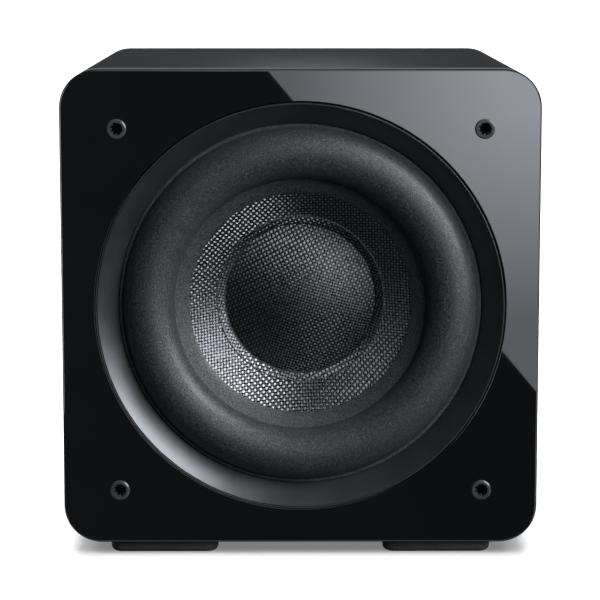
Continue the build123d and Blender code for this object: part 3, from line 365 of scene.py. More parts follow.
def gloss_lacquer():
    """Deep black polished lacquer: almost flat, with the faintest waviness and dust haze."""
    made = material("gloss_lacquer", (0.01, 0.01, 0.0105), 0.02)
    shader = shader_of(made)
    shader.inputs["IOR"].default_value = 1.52
    haze = noise(made, 14, 4)
    link(made, spread(made, haze, 0.012, 0.035), shader.inputs["Roughness"])
    tone = ramp(made, haze, (0.3, (0.009, 0.009, 0.0095)), (0.7, (0.011, 0.011, 0.0115)))
    link(made, tone, shader.inputs["Base Color"])
    bump(made, noise(made, 25, 1), 0.05, 0.02 * MM)
    return made


def satin_wrap():
    """Satin dark grey wrap with a fine pebbled skin."""
    base = (0.020, 0.0205, 0.023)
    made = material("satin_wrap", base, 0.42)
    shader = shader_of(made)
    patches = noise(made, 12, 5)
    tone = ramp(made, patches, (0.3, tinted(base, 0.94)), (0.7, tinted(base, 1.06)))
    link(made, tone, shader.inputs["Base Color"])
    link(made, spread(made, patches, 0.41, 0.43), shader.inputs["Roughness"])
    bump(made, noise(made, 2600, 2), 0.25, 0.03 * MM)
    return made


def trim_satin():
    """Satin black turned metal, with a faint fine grain."""
    made = material("trim_satin", (0.10, 0.102, 0.108), 0.36, 0.9)
    shader = shader_of(made)
    patches = noise(made, 30, 4)
    tone = ramp(made, patches, (0.3, (0.09, 0.092, 0.097)), (0.7, (0.112, 0.114, 0.12)))
    link(made, tone, shader.inputs["Base Color"])
    link(made, spread(made, patches, 0.34, 0.4), shader.inputs["Roughness"])
    bump(made, noise(made, 1800, 2), 0.15, 0.012 * MM)
    return made


def surround_rubber():
    """Dark rubber with the fine grain of a blasted mould; its colour follows the grain's height,
    darker in the pits as painted shade and much lighter on the peaks as painted glints.
    """
    base = (0.015, 0.015, 0.0165)
    made = material("surround_rubber", base, 0.42)
    shader = shader_of(made)
    grain = noise(made, 1250, 2, roughness=0.7)
    # Painted shade in the grain's pits and painted glints on its peaks, on the same noise as the
    # bump.
    dark, middle, bright = tinted(base, 0.3), tinted(base, 1.2), tinted(base, 4.5)
    tone = ramp(made, grain, (0.36, dark), (0.5, middle), (0.64, bright))
    link(made, tone, shader.inputs["Base Color"])
    link(made, spread(made, noise(made, 60, 4), 0.4, 0.48), shader.inputs["Roughness"])
    bump(made, grain, 0.8, 0.12 * MM)
    return made


def woven_tow(name, turn, grey, roughness, anisotropic):
    """Glossy tows: the tow attribute is 0 in the gaps and 1 on the crests, and the colour follows
    it, black in the gaps and on the tows' flanks as painted shade and lightest on the crests as
    painted highlight.

    Fibres spread light across themselves. A turn of 0 suits tows along the cloth's second
    direction, and a quarter turn suits tows along its first.
    """
    made = material(name, grey, roughness, 1.0)
    shader = shader_of(made)
    tow = node(made, "ShaderNodeAttribute", attribute_name="tow").outputs["Fac"]
    streak = noise(made, 350, 3)
    # The colour runs with the tow's height: painted shade down into the gaps, painted highlight on
    # the crests.
    strength = node(made, "ShaderNodeMath", operation="MULTIPLY")
    link(made, tow, strength.inputs[0])
    link(made, spread(made, streak, 0.75, 1.0), strength.inputs[1])
    tone = ramp(
        made,
        strength.outputs[0],
        (0.0, (0.001, 0.001, 0.001)),
        (0.5, tinted(grey, 0.05)),
        (0.74, tinted(grey, 0.8)),
        (1.0, tinted(grey, 1.2)),
    )
    link(made, tone, shader.inputs["Base Color"])
    shader.inputs["Anisotropic"].default_value = anisotropic
    shader.inputs["Anisotropic Rotation"].default_value = turn
    tangent = node(made, "ShaderNodeTangent", direction_type="UV_MAP", uv_map="weave")
    link(made, tangent.outputs["Tangent"], shader.inputs["Tangent"])
    return made


TOWS = [
    woven_tow("cone_warp", 0, CONE_WARP_SHADED_GREY, 0.6, 0.88),
    woven_tow("cone_weft", 0.25, CONE_WEFT_LIT_GREY, 0.6, 0.88),
    woven_tow("dome_warp", 0, DOME_WARP_LIT_GREY, 0.55, 0.85),
    woven_tow("dome_weft", 0.25, DOME_WEFT_SHADED_GREY, 0.55, 0.85),
]


def powder_coat(name, base):
    """Fine-textured powder coat on metal."""
    made = varied(name, base, 0.46, patch=25, vary=0.12)
    bump(made, noise(made, 1700, 3, roughness=0.6), 0.5, 0.06 * MM)
    return made


def banded(name, base, roughness, metallic, pitch, cross=False, depth=0.05):
    """A surface ribbed by fine bands along Y, such as windings or, crossed, a weave."""
    made = varied(name, base, roughness, metallic, patch=60, vary=0.2)
    place = node(made, "ShaderNodeTexCoord")
    split = node(made, "ShaderNodeSeparateXYZ")
    link(made, place.outputs["Object"], split.inputs["Vector"])
    heights = []
    for axis in "XZ" if cross else "Y":
        scaled = node(made, "ShaderNodeMath", operation="MULTIPLY")
        scaled.inputs[1].default_value = 2 * math.pi / pitch
        link(made, split.outputs[axis], scaled.inputs[0])
        wave = node(made, "ShaderNodeMath", operation="SINE")
        link(made, scaled.outputs[0], wave.inputs[0])
        heights.append(wave.outputs[0])
    height = heights[0]
    if cross:
        product = node(made, "ShaderNodeMath", operation="MULTIPLY")
        link(made, heights[0], product.inputs[0])
        link(made, heights[1], product.inputs[1])
        height = product.outputs[0]
    bump(made, height, 0.6, depth * MM)
    return made


def machined(name, base, roughness, scratch=(1, 30, 1)):
    """Plated or bare metal with fine drawn scratches."""
    made = material(name, base, roughness, 1.0)
    shader = shader_of(made)
    patches = noise(made, 90, 5)
    tone = ramp(made, patches, (0.3, tinted(base, 0.85)), (0.7, tinted(base, 1.08)))
    link(made, tone, shader.inputs["Base Color"])
    lines = noise(made, 160, 4, stretch=scratch)
    link(made, spread(made, lines, roughness * 0.7, roughness * 1.5), shader.inputs["Roughness"])
    bump(made, lines, 0.12, 0.02 * MM)
    return made


def fibrous(name, base, scale, depth, stretch=(1, 1, 1)):
    """Matted fibres: wadding, fibreboard or foam."""
    made = material(name, base, 0.95)
    shader = shader_of(made)
    fibres = noise(made, scale, 6, stretch, 0.7)
    tone = ramp(made, fibres, (0.3, tinted(base, 0.6)), (0.5, base), (0.7, tinted(base, 1.35)))
    link(made, tone, shader.inputs["Base Color"])
    bump(made, fibres, 0.8, depth * MM)
    return made


def glowing_lens(name, base):
    """A lit coloured lens."""
    made = varied(name, base, 0.2, patch=300, vary=0.1)
    shader = shader_of(made)
    shader.inputs["Emission Color"].default_value = (*base, 1)
    shader.inputs["Emission Strength"].default_value = 1.6
    return made


def clear_glass(name):
    """Thin clear glass."""
    made = varied(name, (0.85, 0.88, 0.88), 0.05, patch=200, vary=0.03, grain_depth=0.002)
    shader_of(made).inputs["Transmission Weight"].default_value = 0.95
    return made


RECIPES = {
    "gloss_lacquer": gloss_lacquer,
    "satin_wrap": satin_wrap,
    "trim_satin": trim_satin,
    "surround_rubber": surround_rubber,
    "woven_fibre": lambda: varied("woven_fibre", (0.02, 0.02, 0.021), 0.55, 0.5, grain=1500),
    "socket_plastic": lambda: varied("socket_plastic", (0.036, 0.037, 0.04), 0.26, grain=2200),
    "foot_rubber": lambda: varied(
        "foot_rubber", (0.052, 0.052, 0.056), 0.6, grain=1300, grain_depth=0.06
    ),
    "amp_panel": lambda: powder_coat("amp_panel", (0.034, 0.035, 0.038)),
    "black_plastic": lambda: powder_coat("black_plastic", (0.03, 0.03, 0.032)),
    "knob_plastic": lambda: varied("knob_plastic", (0.036, 0.036, 0.039), 0.4, grain=2400),
    "nickel": lambda: machined("nickel", (0.78, 0.76, 0.7), 0.2),
    "alloy_bare": lambda: machined("alloy_bare", (0.74, 0.75, 0.77), 0.32),
    "zinc_steel": lambda: machined("zinc_steel", (0.6, 0.6, 0.58), 0.34),
    "cover_steel": lambda: machined("cover_steel", (0.55, 0.55, 0.55), 0.38, (30, 1, 1)),
    "black_steel": lambda: machined("black_steel", (0.05, 0.05, 0.053), 0.36),
    "cast_alloy": lambda: powder_coat("cast_alloy", (0.05, 0.05, 0.055)),
    "ferrite": lambda: fibrous("ferrite", (0.055, 0.053, 0.055), 900, 0.04),
    "gasket_foam": lambda: fibrous("gasket_foam", (0.02, 0.02, 0.02), 1600, 0.15),
    "batting": lambda: fibrous("batting", (0.62, 0.63, 0.62), 260, 1.5),
    "raw_board": lambda: fibrous("raw_board", (0.36, 0.25, 0.15), 420, 0.1, (1, 3, 1)),
    "copper_winding": lambda: banded("copper_winding", (0.42, 0.17, 0.07), 0.3, 0.9, 0.5 * MM),
    "spider_cloth": lambda: banded(
        "spider_cloth", (0.5, 0.36, 0.17), 0.85, 0, 0.9 * MM, cross=True, depth=0.15
    ),
    "braid": lambda: banded(
        "braid", (0.62, 0.45, 0.28), 0.35, 0.9, 0.8 * MM, cross=True, depth=0.1
    ),
    "led_lens": lambda: glowing_lens("led_lens", (0.05, 0.3, 0.75)),
    "fuse_glass": lambda: clear_glass("fuse_glass"),
}
MATERIALS = {}


def finish_for(slot_name):
    """The material for one of the record's slots, made once."""
    if slot_name not in MATERIALS:
        MATERIALS[slot_name] = make_finish(slot_name)
    return MATERIALS[slot_name]


def make_finish(slot_name):
    """The material of a slot: its own recipe, or a varied surface of the record's colour."""
    if slot_name in RECIPES:
        return RECIPES[slot_name]()
    entry = next(m for m in frame["record"]["materials"] if m["slot"] == slot_name)
    metal = {"brushed_steel": 0.9, "chrome": 1.0, "aluminium": 0.8, "brass": 0.9}
    rough = {"chrome": 0.16, "gloss_plastic": 0.22, "rubber": 0.6, "wood": 0.75, "fabric": 0.95}
    kind = entry["class"]
    return varied(slot_name, entry["base_color"][:3], rough.get(kind, 0.45), metal.get(kind, 0.0))


def dress(piece, slot_name):
    """Gives a piece its slot's material and names the slot."""
    piece.data.materials.clear()
    piece.data.materials.append(finish_for(slot_name))


# ---------------------------------------------------------------- driver


def surround_outline():
    """The surround's closed outline: outer flange, roll and the inner flange glued to the cone."""
    crest_r = (ROLL_OUTER_R + ROLL_INNER_R) / 2
    front = [(SURROUND_R, FLANGE_DEPTH)]
    front += through(
        (ROLL_OUTER_R, FLANGE_DEPTH), (crest_r, ROLL_CREST_DEPTH), (ROLL_INNER_R, VALLEY_DEPTH), 40
    )
    edge_depth = CONE_DEPTH - SURROUND_T - GLUE_GAP
    front += [
        (ROLL_INNER_R + (CONE_R - ROLL_INNER_R) * t, VALLEY_DEPTH + (edge_depth - VALLEY_DEPTH) * t)
        for t in (0.1, 0.5, 0.93)
    ]
    front += [(CONE_R, edge_depth + 0.35 * MM)]
    back = [(CONE_R, CONE_DEPTH - GLUE_GAP)]
    back += through(
        (ROLL_INNER_R + 1.2 * MM, VALLEY_DEPTH + 1.2 * MM),
        (crest_r, ROLL_CREST_DEPTH + SURROUND_T),
        (ROLL_OUTER_R - 1.2 * MM, FLANGE_DEPTH + SURROUND_T),
        24,
    )
    back += [(SURROUND_R, FLANGE_DEPTH + SURROUND_T)]
    return front + back


def bend_radially(piece):
    """Lays a turned piece's points out along X by their radius, bakes its transform, and puts the
    points back.
    """
    mesh = piece.data
    places = np.empty(len(mesh.vertices) * 3)
    mesh.vertices.foreach_get("co", places)
    at_rest = places.reshape(-1, 3).copy()
    radius = np.hypot(at_rest[:, 0] - DRIVER_X, at_rest[:, 2] - DRIVER_Z)
    laid_out = np.zeros_like(at_rest)
    laid_out[:, 0] = radius
    mesh.vertices.foreach_set("co", laid_out.ravel())
    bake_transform(piece)
    mesh.vertices.foreach_set("co", at_rest.ravel())
    mesh.update()


def make_surround():
    """The half-roll rubber surround."""
    piece = turned("surround_roll", surround_outline(), segments=256)
    dress(piece, "surround_rubber")
    bend_radially(piece)
    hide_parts("surround")


def make_trim_ring():
    """The bevelled ring round the driver, with a small rounded lip."""
    lip = 0.75 * MM
    base = -0.3 * MM
    outline = [(TRIM_R, RIM_DEPTH), (TRIM_INNER_R, RIM_DEPTH)]
    outline += [(TRIM_INNER_R, TRIM_BEVEL_DEPTH + 0.4 * MM)]
    outline += flat((TRIM_INNER_R + 0.2 * MM, TRIM_BEVEL_DEPTH), (TRIM_R - 2 * lip, base))
    outline += arc((TRIM_R - lip, base), lip, -180, -360, 10)[1:]
    piece = turned("trim_bevel", outline, segments=256)
    dress(piece, "trim_satin")
    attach(piece, CABINET)
    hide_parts("trim_ring")


def woven(name, inner_r, outer_r, depth_of, turn, dome_r=0.0):
    """A plain-woven cloth pressed over a turned face, its tows crossing over and under.

    Each cell holds one crossing. The tow on top is crowned across its width and along its float,
    and the tow attribute says how near a point is to a crest. Inside dome_r the tows take the
    dome's greys, whose weft is painted dark as shade.
    """
    step = TOW_PITCH / CELL_STEPS
    reach = int(outer_r / step) + 2
    ticks = np.arange(-reach, reach + 1)
    u, v = np.meshgrid(ticks / CELL_STEPS, ticks / CELL_STEPS, indexing="ij")
    across_warp = u - np.floor(u) - 0.5
    across_weft = v - np.floor(v) - 0.5
    warp_up = np.sin(math.pi * v) * np.where(np.floor(u) % 2 == 0, 1, -1)
    weft_up = -np.sin(math.pi * u) * np.where(np.floor(v) % 2 == 0, 1, -1)
    warp = 0.45 * warp_up + 0.55 * np.sqrt(1 - np.abs(2 * across_warp) ** 3)
    weft = 0.45 * weft_up + 0.55 * np.sqrt(1 - np.abs(2 * across_weft) ** 3)
    height = np.clip(np.maximum(warp, weft), 0, 1)
    flat_x = TOW_PITCH * (u * math.cos(turn) - v * math.sin(turn))
    flat_z = TOW_PITCH * (u * math.sin(turn) + v * math.cos(turn))
    radius = np.hypot(flat_x, flat_z)
    slope = (depth_of(radius + 0.1 * MM) - depth_of(np.maximum(radius - 0.1 * MM, 0))) / (0.2 * MM)
    lift = TOW_CREST * (height - 0.8) / np.sqrt(1 + slope**2)
    safe = np.maximum(radius, 1e-6)
    x = flat_x + slope * lift * flat_x / safe
    z = flat_z + slope * lift * flat_z / safe
    y = depth_of(radius) - lift
    points = np.stack([x + DRIVER_X, y + FRONT_Y, z + DRIVER_Z], -1).reshape(-1, 3)
    inside = (radius <= outer_r) & (radius >= inner_r)
    keep = inside[:-1, :-1] & inside[1:, :-1] & inside[1:, 1:] & inside[:-1, 1:]
    side = len(ticks)
    corner = (np.arange(side)[:, None] * side + np.arange(side)[None, :])[:-1, :-1][keep]
    faces = np.stack([corner, corner + side, corner + side + 1, corner + 1], -1)
    used = np.unique(faces)
    renumber = np.full(side * side, -1)
    renumber[used] = np.arange(len(used))
    piece = make_mesh(name, points[used], renumber[faces].tolist(), 180)
    attribute = piece.data.attributes.new("tow", "FLOAT", "POINT")
    attribute.data.foreach_set("value", height.reshape(-1)[used].astype(np.float32))
    along = np.stack([u, v], -1).reshape(-1, 2)[faces.reshape(-1)] / (2 * reach)
    piece.data.uv_layers.new(name="weave").data.foreach_set("uv", along.astype(np.float32).ravel())
    # Each face takes a lit or a shaded copy of the tow material: painted highlight and painted
    # shade.
    weft_on_top = (weft > warp).reshape(-1)[faces].sum(1) > 2
    on_dome = radius.reshape(-1)[faces].mean(1) < dome_r
    for tow in TOWS:
        piece.data.materials.append(tow)
    piece.data.polygons.foreach_set(
        "material_index", (weft_on_top + 2 * on_dome).astype(np.int32)
    )
    return piece


def joined(name, first, *others):
    """Joins objects into the first one under a new name."""
    with bpy.context.temp_override(
        active_object=first, selected_editable_objects=[first, *others]
    ):
        bpy.ops.object.join()
    first.name = name
    first.data.name = name
    return first


def make_cone():
    """The woven cone: a closed shell, and its cloth where it shows."""
    lip_r = 95 * MM
    lip_depth = 21.65 * MM
    sink = 0.25 * MM
    outline = [
        (lip_r, lip_depth),
        (CONE_R + 0.5 * MM, CONE_DEPTH),
        (CONE_R, CONE_DEPTH + sink),
        (NECK_R, NECK_DEPTH + sink),
        (NECK_R, NECK_DEPTH + CONE_WALL),
        (CONE_R, CONE_DEPTH + CONE_WALL),
        (lip_r, lip_depth + CONE_WALL),
    ]
    shell = turned("cone_shell", outline)
    cloth = woven("cone_cloth", CAP_R - 3 * MM, CONE_R + 0.6 * MM, cone_front, CONE_WEAVE_TURN)
    dress(shell, "woven_fibre")
    piece = joined("woven_cone", cloth, shell)
    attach(piece, CONE_BODY)
    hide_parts("cone")


def make_dust_cap():
    """The woven dust cap: its flange on the cone and its shallow dome."""
    radii = np.linspace(CAP_R, 0, 30)
    sink = 0.3 * MM
    front = [(float(r), float(cap_front(r)) + sink) for r in radii]
    back = [(float(r), float(cap_front(r)) + CAP_T) for r in radii[::-1]]
    shell = turned("cap_shell", front + back)
    cloth = woven("cap_cloth", 0, CAP_R + 0.1 * MM, cap_front, DOME_WEAVE_TURN, DOME_R)
    dress(shell, "woven_fibre")
    edge = float(cap_front(CAP_R))
    step = (cone_front(CAP_R) - edge) / (1 + CONE_SLOPE**2)
    lip = [(CAP_R + 0.12 * MM, edge + 0.04 * MM), (CAP_R + step * CONE_SLOPE, edge + step)]
    lip += [(CAP_R + 0.2 * MM, edge + step), (CAP_R - 0.4 * MM, edge + 0.8 * MM)]
    rim = turned("cap_rim", lip)
    rim.data.materials.append(machined("resin_edge", (0.4, 0.41, 0.43), 0.34))
    piece = joined("woven_dust_cap", cloth, shell, rim)
    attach(piece, CONE_BODY)
    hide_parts("dust_cap")


def make_spider():
    """The corrugated cloth that centres the coil, from the basket's shelf to the former."""
    half_wave = (SPIDER_WAVE_END - SPIDER_WAVE_START) / (2 * SPIDER_WAVES)

    def layer(depth):
        """One face of the cloth, from the former outwards."""
        points = [(SPIDER_INNER_R, depth)]
        for half in range(2 * SPIDER_WAVES):
            start = SPIDER_WAVE_START + half * half_wave
            swing = SPIDER_SWING if half % 2 else -SPIDER_SWING
            middle = (start + half_wave / 2, depth + swing)
            points += through((start, depth), middle, (start + half_wave, depth), 6)[:-1]
        outer = np.linspace(SPIDER_WAVE_END, SPIDER_R, 6)
        return points + [(float(radius), depth) for radius in outer]

    outline = layer(SPIDER_DEPTH - SPIDER_T) + layer(SPIDER_DEPTH)[::-1]
    piece = turned("spider_corrugation", outline, segments=144)
    dress(piece, "spider_cloth")
    bend_radially(piece)
    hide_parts("spider")


def make_tinsel_leads():
    """The two braided leads that loop from the terminal block to the cone."""
    leads = []
    for side in (-1, 1):
        curve = bpy.data.curves.new("tinsel_route", "CURVE")
        curve.dimensions = "3D"
        curve.bevel_depth = TINSEL_R
        curve.bevel_resolution = 4
        curve.use_fill_caps = True
        spline = curve.splines.new("NURBS")
        spline.points.add(len(TINSEL_ROUTE) - 1)
        for point, (depth, up) in zip(spline.points, TINSEL_ROUTE):
            point.co = (side * TINSEL_X, FRONT_Y + depth * MM, DRIVER_Z + up * MM, 1)
        spline.order_u = 3
        spline.use_endpoint_u = True
        route = bpy.data.objects.new("tinsel_route", curve)
        bpy.context.collection.objects.link(route)
        solid = route.evaluated_get(bpy.context.evaluated_depsgraph_get())
        lead = bpy.data.objects.new("tinsel_lead", bpy.data.meshes.new_from_object(solid))
        bpy.data.objects.remove(route)
        bpy.context.collection.objects.link(lead)
        leads.append(lead)
    piece = joined("tinsel_pair", *leads)
    dress(piece, "braid")
    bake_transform(piece)
    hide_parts("tinsel_leads")


def bar(start, end, width):
    """The outline of a straight stroke with round ends."""
    a, b = Vector(start), Vector(end)
    heading = math.atan2(b.y - a.y, b.x - a.x)
    outline = []
    for centre, first in ((b, heading - math.pi / 2), (a, heading + math.pi / 2)):
        for step in range(7):
            angle = first + math.pi * step / 6
            outline.append(
                (centre.x + width / 2 * math.cos(angle), centre.y + width / 2 * math.sin(angle))
            )
    return outline


def strokes_of(points, width):
    """Bars along an open line of points."""
    return [bar(a, b, width) for a, b in zip(points, points[1:])]


def prisms(name, outlines, start, end, spot=(0, 0)):
    """Outlines in (right, up) millimetres from a spot of the panel, as prisms between depths."""
    points = []
    faces = []
    for outline in outlines:
        count = len(outline)
        first = len(points)
        for depth in (start, end):
            for right, up in outline:
                points.append(
                    (-(spot[0] + right) * MM, FRONT_Y + depth, MIDDLE_Z + (spot[1] + up) * MM)
                )
        faces.append([first + i for i in range(count)])
        faces.append([first + count + i for i in reversed(range(count))])
        for i in range(count):
            j = (i + 1) % count
            faces.append([first + j, first + i, first + count + i, first + count + j])
    piece = make_mesh(name, points, faces)
    tidy_mesh(piece)
    return piece


def ring_points(centre, radius, steps=20):
    """Points round a circle, closed."""
    angles = [2 * math.pi * i / steps for i in range(steps + 1)]
    return [(centre[0] + radius * math.cos(a), centre[1] + radius * math.sin(a)) for a in angles]


def make_panel_print():
    """The printed scales and plain symbols on the amplifier's panel."""
    marks = []
    for right, up in KNOB_SPOTS.values():
        for step in range(11):
            angle = math.radians(-60 + 30 * step)
            inner, outer = 11.6, 14.4 if step % 5 == 0 else 13.2
            line = [(right + r * math.cos(angle), up + r * math.sin(angle)) for r in (inner, outer)]
            marks += strokes_of(line, 0.5)
    # under the knobs: a rising wedge, a curve that falls away, and a circle with a slash
    right, up = KNOB_SPOTS["gain_knob"]
    marks.append([(right - 5, up - 19.5), (right + 5, up - 19.5), (right + 5, up - 16.5)])
    right, up = KNOB_SPOTS["crossover_knob"]
    curve = [(-5, -16.8), (-1, -16.8), (1, -17.3), (2.6, -18.4), (4, -19.8)]
    marks += strokes_of([(right + x, up + y) for x, y in curve], 0.5)
    right, up = KNOB_SPOTS["phase_knob"]
    marks += strokes_of(ring_points((right, up - 18.2), 1.7), 0.4)
    marks += strokes_of([(right - 1.9, up - 20.2), (right + 1.9, up - 16.2)], 0.4)
    # a bracket under the line sockets, a pulse under the trigger socket, and the toggle's marks
    left, low = RCA_SPOTS[0]
    bracket = [(left, -12), (left, -14), (RCA_SPOTS[1][0], -14), (RCA_SPOTS[1][0], -12)]
    marks += strokes_of([(x, low + y + 1) for x, y in bracket], 0.45)
    right, low = TRIGGER_SPOT
    pulse = [(-4, -13), (-1.6, -13), (-1.6, -10.6), (1.6, -10.6), (1.6, -13), (4, -13)]
    marks += strokes_of([(right + x, low + y) for x, y in pulse], 0.45)
    right, up = TOGGLE_SPOT
    marks += strokes_of([(right - 2, up + 11), (right + 2, up + 11)], 0.5)
    marks += strokes_of(ring_points((right, up - 11), 1.3), 0.45)
    piece = prisms("panel_print", marks, PLATE_DEPTH, PLATE_DEPTH + PRINT_T)
    dress(piece, "insulator")
    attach(piece, CABINET)


def make_knob_pointers():
    """The white line let into each knob's face."""
    for name, spot in KNOB_SPOTS.items():
        line = [bar((0, 1.75), (0, 7.05), 1.0)]
        piece = prisms(
            name + "_pointer", line, KNOB_FACE_DEPTH - 0.5 * MM, KNOB_FACE_DEPTH - 0.1 * MM, spot
        )
        dress(piece, "insulator")
        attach(piece, name)


def make_rocker_marks():
    """A stroke and a ring printed on the two halves of the rocker's face."""
    marks = [bar((-1.5, 5), (1.5, 5), 0.5)]
    marks += strokes_of(ring_points((0, -5), 1.3), 0.45)
    piece = prisms("rocker_marks", marks, 0, PRINT_T)
    for vertex in piece.data.vertices:
        across = vertex.co.x
        up = vertex.co.z - MIDDLE_Z
        out = vertex.co.y - FRONT_Y + ROCKER_STANDOFF + abs(up) * ROCKER_SLOPE
        behind = out * math.cos(ROCKER_TILT) - up * math.sin(ROCKER_TILT)
        above = out * math.sin(ROCKER_TILT) + up * math.cos(ROCKER_TILT)
        vertex.co = (
            across - ROCKER_SPOT[0] * MM,
            FRONT_Y + ROCKER_PIVOT_DEPTH + behind,
            MIDDLE_Z + ROCKER_SPOT[1] * MM + above,
        )
    dress(piece, "insulator")
    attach(piece, "power_rocker")


def dress_cad_nodes():
    """Gives every CAD node that still shows the material of its slot."""
    slots = {s["node"]: s["material_slot"] for s in frame["record"]["subparts"]}
    for name, obj in frame["nodes"].items():
        made = finish_for(slots[name])
        if not obj.material_slots:
            continue
        for place in obj.material_slots:
            place.link = "OBJECT"
            place.material = made


# ---------------------------------------------------------------- stage, lights and camera


def make_floor():
    """A round pale floor that sweeps up into a backdrop on every side."""
    curve = np.linspace(0.1, math.pi / 2, 16)
    profile = [(0.001, 0.0), (FLOOR_R, 0.0)]
    profile += [
        (FLOOR_R + SWEEP_R * math.sin(t), SWEEP_R - SWEEP_R * math.cos(t)) for t in curve
    ]
    profile += [(FLOOR_R + SWEEP_R, BACKDROP_TOP)]
    sides = 96
    turns = [2 * math.pi * i / sides for i in range(sides)]
    points = [(r * math.cos(t), r * math.sin(t), z) for r, z in profile for t in turns]
    faces = []
    for ring in range(len(profile) - 1):
        for i in range(sides):
            j = (i + 1) % sides
            faces.append(
                (ring * sides + i, ring * sides + j, (ring + 1) * sides + j, (ring + 1) * sides + i)
            )
    floor = make_mesh("floor", points, faces)
    made = material("floor_white", (0.9, 0.9, 0.9), 0.9)
    shader_of(made).inputs["Emission Color"].default_value = (1, 1, 1, 1)
    place = node(made, "ShaderNodeTexCoord")
    away = node(made, "ShaderNodeVectorMath", operation="LENGTH")
    link(made, place.outputs["Object"], away.inputs[0])
    glow = spread(made, away.outputs["Value"], FLOOR_GLOW, 1.0, 0.6, 1.9)
    link(made, glow, shader_of(made).inputs["Emission Strength"])
    floor.data.materials.append(made)
    floor.visible_glossy = False
    floor.visible_diffuse = False
    return floor


def area_light(name, place, target, size, power, colour):
    """A soft rectangular light aimed at a target."""
    data = bpy.data.lights.new(name, "AREA")
    data.shape = "RECTANGLE"
    data.size, data.size_y = size
    data.energy = power
    data.color = colour
    lamp = bpy.data.objects.new(name, data)
    aim = Vector(target) - Vector(place)
    turn = aim.to_track_quat("-Z", "Y").to_matrix().to_4x4()
    lamp.matrix_world = Matrix.Translation(place) @ turn
    bpy.context.collection.objects.link(lamp)
    return lamp


def make_lights(floor):
    """A key softbox high on the right, softer lights all round, and a wash on the floor.

    The wrap and the gloss lacquer are shut out of the lamps whose image would wash over them,
    and have gentler lamps of their own.
    """
    driver = (DRIVER_X, FRONT_Y, DRIVER_Z)
    middle = (0, 0, MIDDLE_Z)
    wrap = frame["nodes"]["cabinet_wrap"]
    lacquer = frame["nodes"]["front_baffle"]
    for name, place, target, size, power, colour, shut_out in (
        ("key", (1.3, FRONT_Y - 0.4, 1.1), driver, (1.6, 1.3), 60, COOL, (floor, wrap, lacquer)),
        ("fill", (1.25, FRONT_Y - 1.5, 1.0), driver, (1.3, 1.3), 44, COOL, (floor, wrap, lacquer)),
        ("overhead", (0, 1.6, 3.0), (0, 1.0, 0), (5, 4), 44, COOLER, (lacquer,)),
        ("rear_left", (-1.8, 1.4, 0.9), middle, (1.4, 1.4), 45, COOL, (floor, wrap, lacquer)),
        ("rear_right", (1.5, 2.3, 1.0), middle, (1.4, 1.4), 25, COOL, (floor, wrap, lacquer)),
    ):
        lamp = area_light(name, place, target, size, power, colour)
        shine_only_on(lamp, *shut_out, shut_out=True)
    for name, place, target, size, power, colour, lit in (
        ("over_top", (0.01, 0, 0.55), (0.01, 0, 0), (0.1, 0.5), 0.24, COOLER, wrap),
        ("side_right", (2.0, 0.1, 0.16), (0, 0.1, 0.16), (1.2, 0.3), 16, COOL, wrap),
        ("side_left", (-2.0, 0.1, 0.16), (0, 0.1, 0.16), (1.2, 0.3), 12, COOL, wrap),
        ("behind_top", (0.1, 2.2, 0.9), (0, 0, 0.36), (3.0, 0.5), 32, COOL, wrap),
        ("lacquer_tone", (-1.2, FRONT_Y - 1.2, 0.3), driver, (1, 1), 19, COOL, lacquer),
        ("floor_wash", (0, -2.4, 2.2), (0, -0.2, 0), (5, 2), 140, WHITE, floor),
        ("floor_above", (0, 0.3, 2.6), (0, -0.1, 0), (2, 1.4), 110, WHITE, floor),
    ):
        shine_only_on(area_light(name, place, target, size, power, colour), lit)
    world = bpy.data.worlds.new("studio")
    bpy.context.scene.world = world
    world.use_nodes = True
    background = world.node_tree.nodes["Background"]
    background.inputs["Color"].default_value = (*WORLD_COLOUR, 1)
    background.inputs["Strength"].default_value = 1.0


def shine_only_on(lamp, *targets, shut_out=False):
    """Limits a lamp to some objects, or with shut_out keeps it off them."""
    group = bpy.data.collections.new(lamp.name + "_group")
    for target in targets:
        group.objects.link(target)
    if shut_out:
        for entry in group.collection_objects:
            entry.light_linking.link_state = "EXCLUDE"
    lamp.light_linking.receiver_collection = group


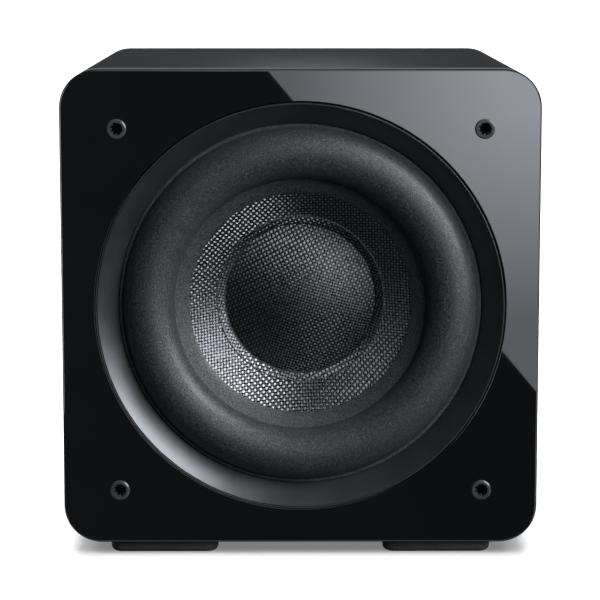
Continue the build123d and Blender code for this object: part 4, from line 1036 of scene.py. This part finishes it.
def make_card():
    """A glowing card in front of the baffle, seen only as its mirror image in gloss surfaces.

    Its straight edge crosses the mirror image diagonally. It brightens towards the upper right.
    """
    y = FRONT_Y - CARD_DISTANCE
    eye = CAMERA_PLACE
    depth = FRONT_Y - eye[1]

    def seen_at(x, z):
        """Where on the card's plane the camera sees, mirrored at this point of the baffle."""
        share = CARD_DISTANCE / depth
        return (x + (x - eye[0]) * share, y, z + (z - eye[2]) * share)

    half = PANEL / 2
    top_x = -0.025
    right_z = MIDDLE_Z - 0.065
    slope = (right_z - (MIDDLE_Z + half)) / (half - top_x)
    far = 0.5
    corners = [
        seen_at(top_x - far, MIDDLE_Z + half - slope * far),
        seen_at(half + far, right_z + slope * far),
        seen_at(half + far, MIDDLE_Z + half + far),
    ]
    card = make_mesh("reflection_card", corners, [(0, 1, 2)])
    glow = glow_on(card)
    made = card.data.materials[0]
    place = node(made, "ShaderNodeTexCoord")
    away = node(made, "ShaderNodeVectorMath", operation="DISTANCE")
    away.inputs[1].default_value = seen_at(half, MIDDLE_Z + half)
    link(made, place.outputs["Object"], away.inputs[0])
    grade = spread(made, away.outputs["Value"], *CARD_GLOW, 0.04, 0.24)
    link(made, grade, glow.inputs["Strength"])


def glow_on(card, strength=1.0):
    """Makes a card glow for the gloss lacquer alone, and returns its emission node."""
    made = bpy.data.materials.new(card.name + "_glow")
    made.use_nodes = True
    made.node_tree.nodes.clear()
    glow = node(made, "ShaderNodeEmission")
    glow.inputs["Color"].default_value = (*CARD_COLOUR, 1)
    glow.inputs["Strength"].default_value = strength
    output = node(made, "ShaderNodeOutputMaterial")
    link(made, glow.outputs["Emission"], output.inputs["Surface"])
    card.data.materials.append(made)
    card.visible_camera = False
    card.visible_diffuse = False
    card.visible_shadow = False
    shine_only_on(card, frame["nodes"]["front_baffle"])
    return glow


def make_edge_cards():
    """Cards that the lacquer's top and its lower edge mirror: the backdrop and the floor."""
    rear = [(-2, 2.5, 0.3), (2, 2.5, 0.3), (2, 0.5, 3.0), (-2, 0.5, 3.0)]
    glow_on(make_mesh("rear_card", rear, [(0, 1, 2, 3)]), REAR_CARD_GLOW)
    near, far = FRONT_Y - 0.001, FRONT_Y - 0.034
    floor = [(-0.4, near, 0.001), (0.4, near, 0.001), (0.4, far, 0.001), (-0.4, far, 0.001)]
    glow_on(make_mesh("floor_card", floor, [(0, 1, 2, 3)]), FLOOR_CARD_GLOW)


def make_camera():
    """A long lens a little above the object, looking slightly down."""
    data = bpy.data.cameras.new("camera")
    data.lens = CAMERA_LENS
    data.sensor_width = 36
    camera = bpy.data.objects.new("camera", data)
    turn = (
        Matrix.Rotation(-CAMERA_YAW, 4, "Z")
        @ Matrix.Rotation(math.pi / 2 - CAMERA_PITCH, 4, "X")
    )
    camera.matrix_world = Matrix.Translation(CAMERA_PLACE) @ turn
    bpy.context.collection.objects.link(camera)
    bpy.context.scene.camera = camera


make_camera()
make_lights(make_floor())
make_card()
make_edge_cards()
bpy.context.scene.view_settings.view_transform = "Standard"

dress_cad_nodes()
make_trim_ring()
make_surround()
make_cone()
make_dust_cap()
make_spider()
make_tinsel_leads()
make_panel_print()
make_knob_pointers()
make_rocker_marks()
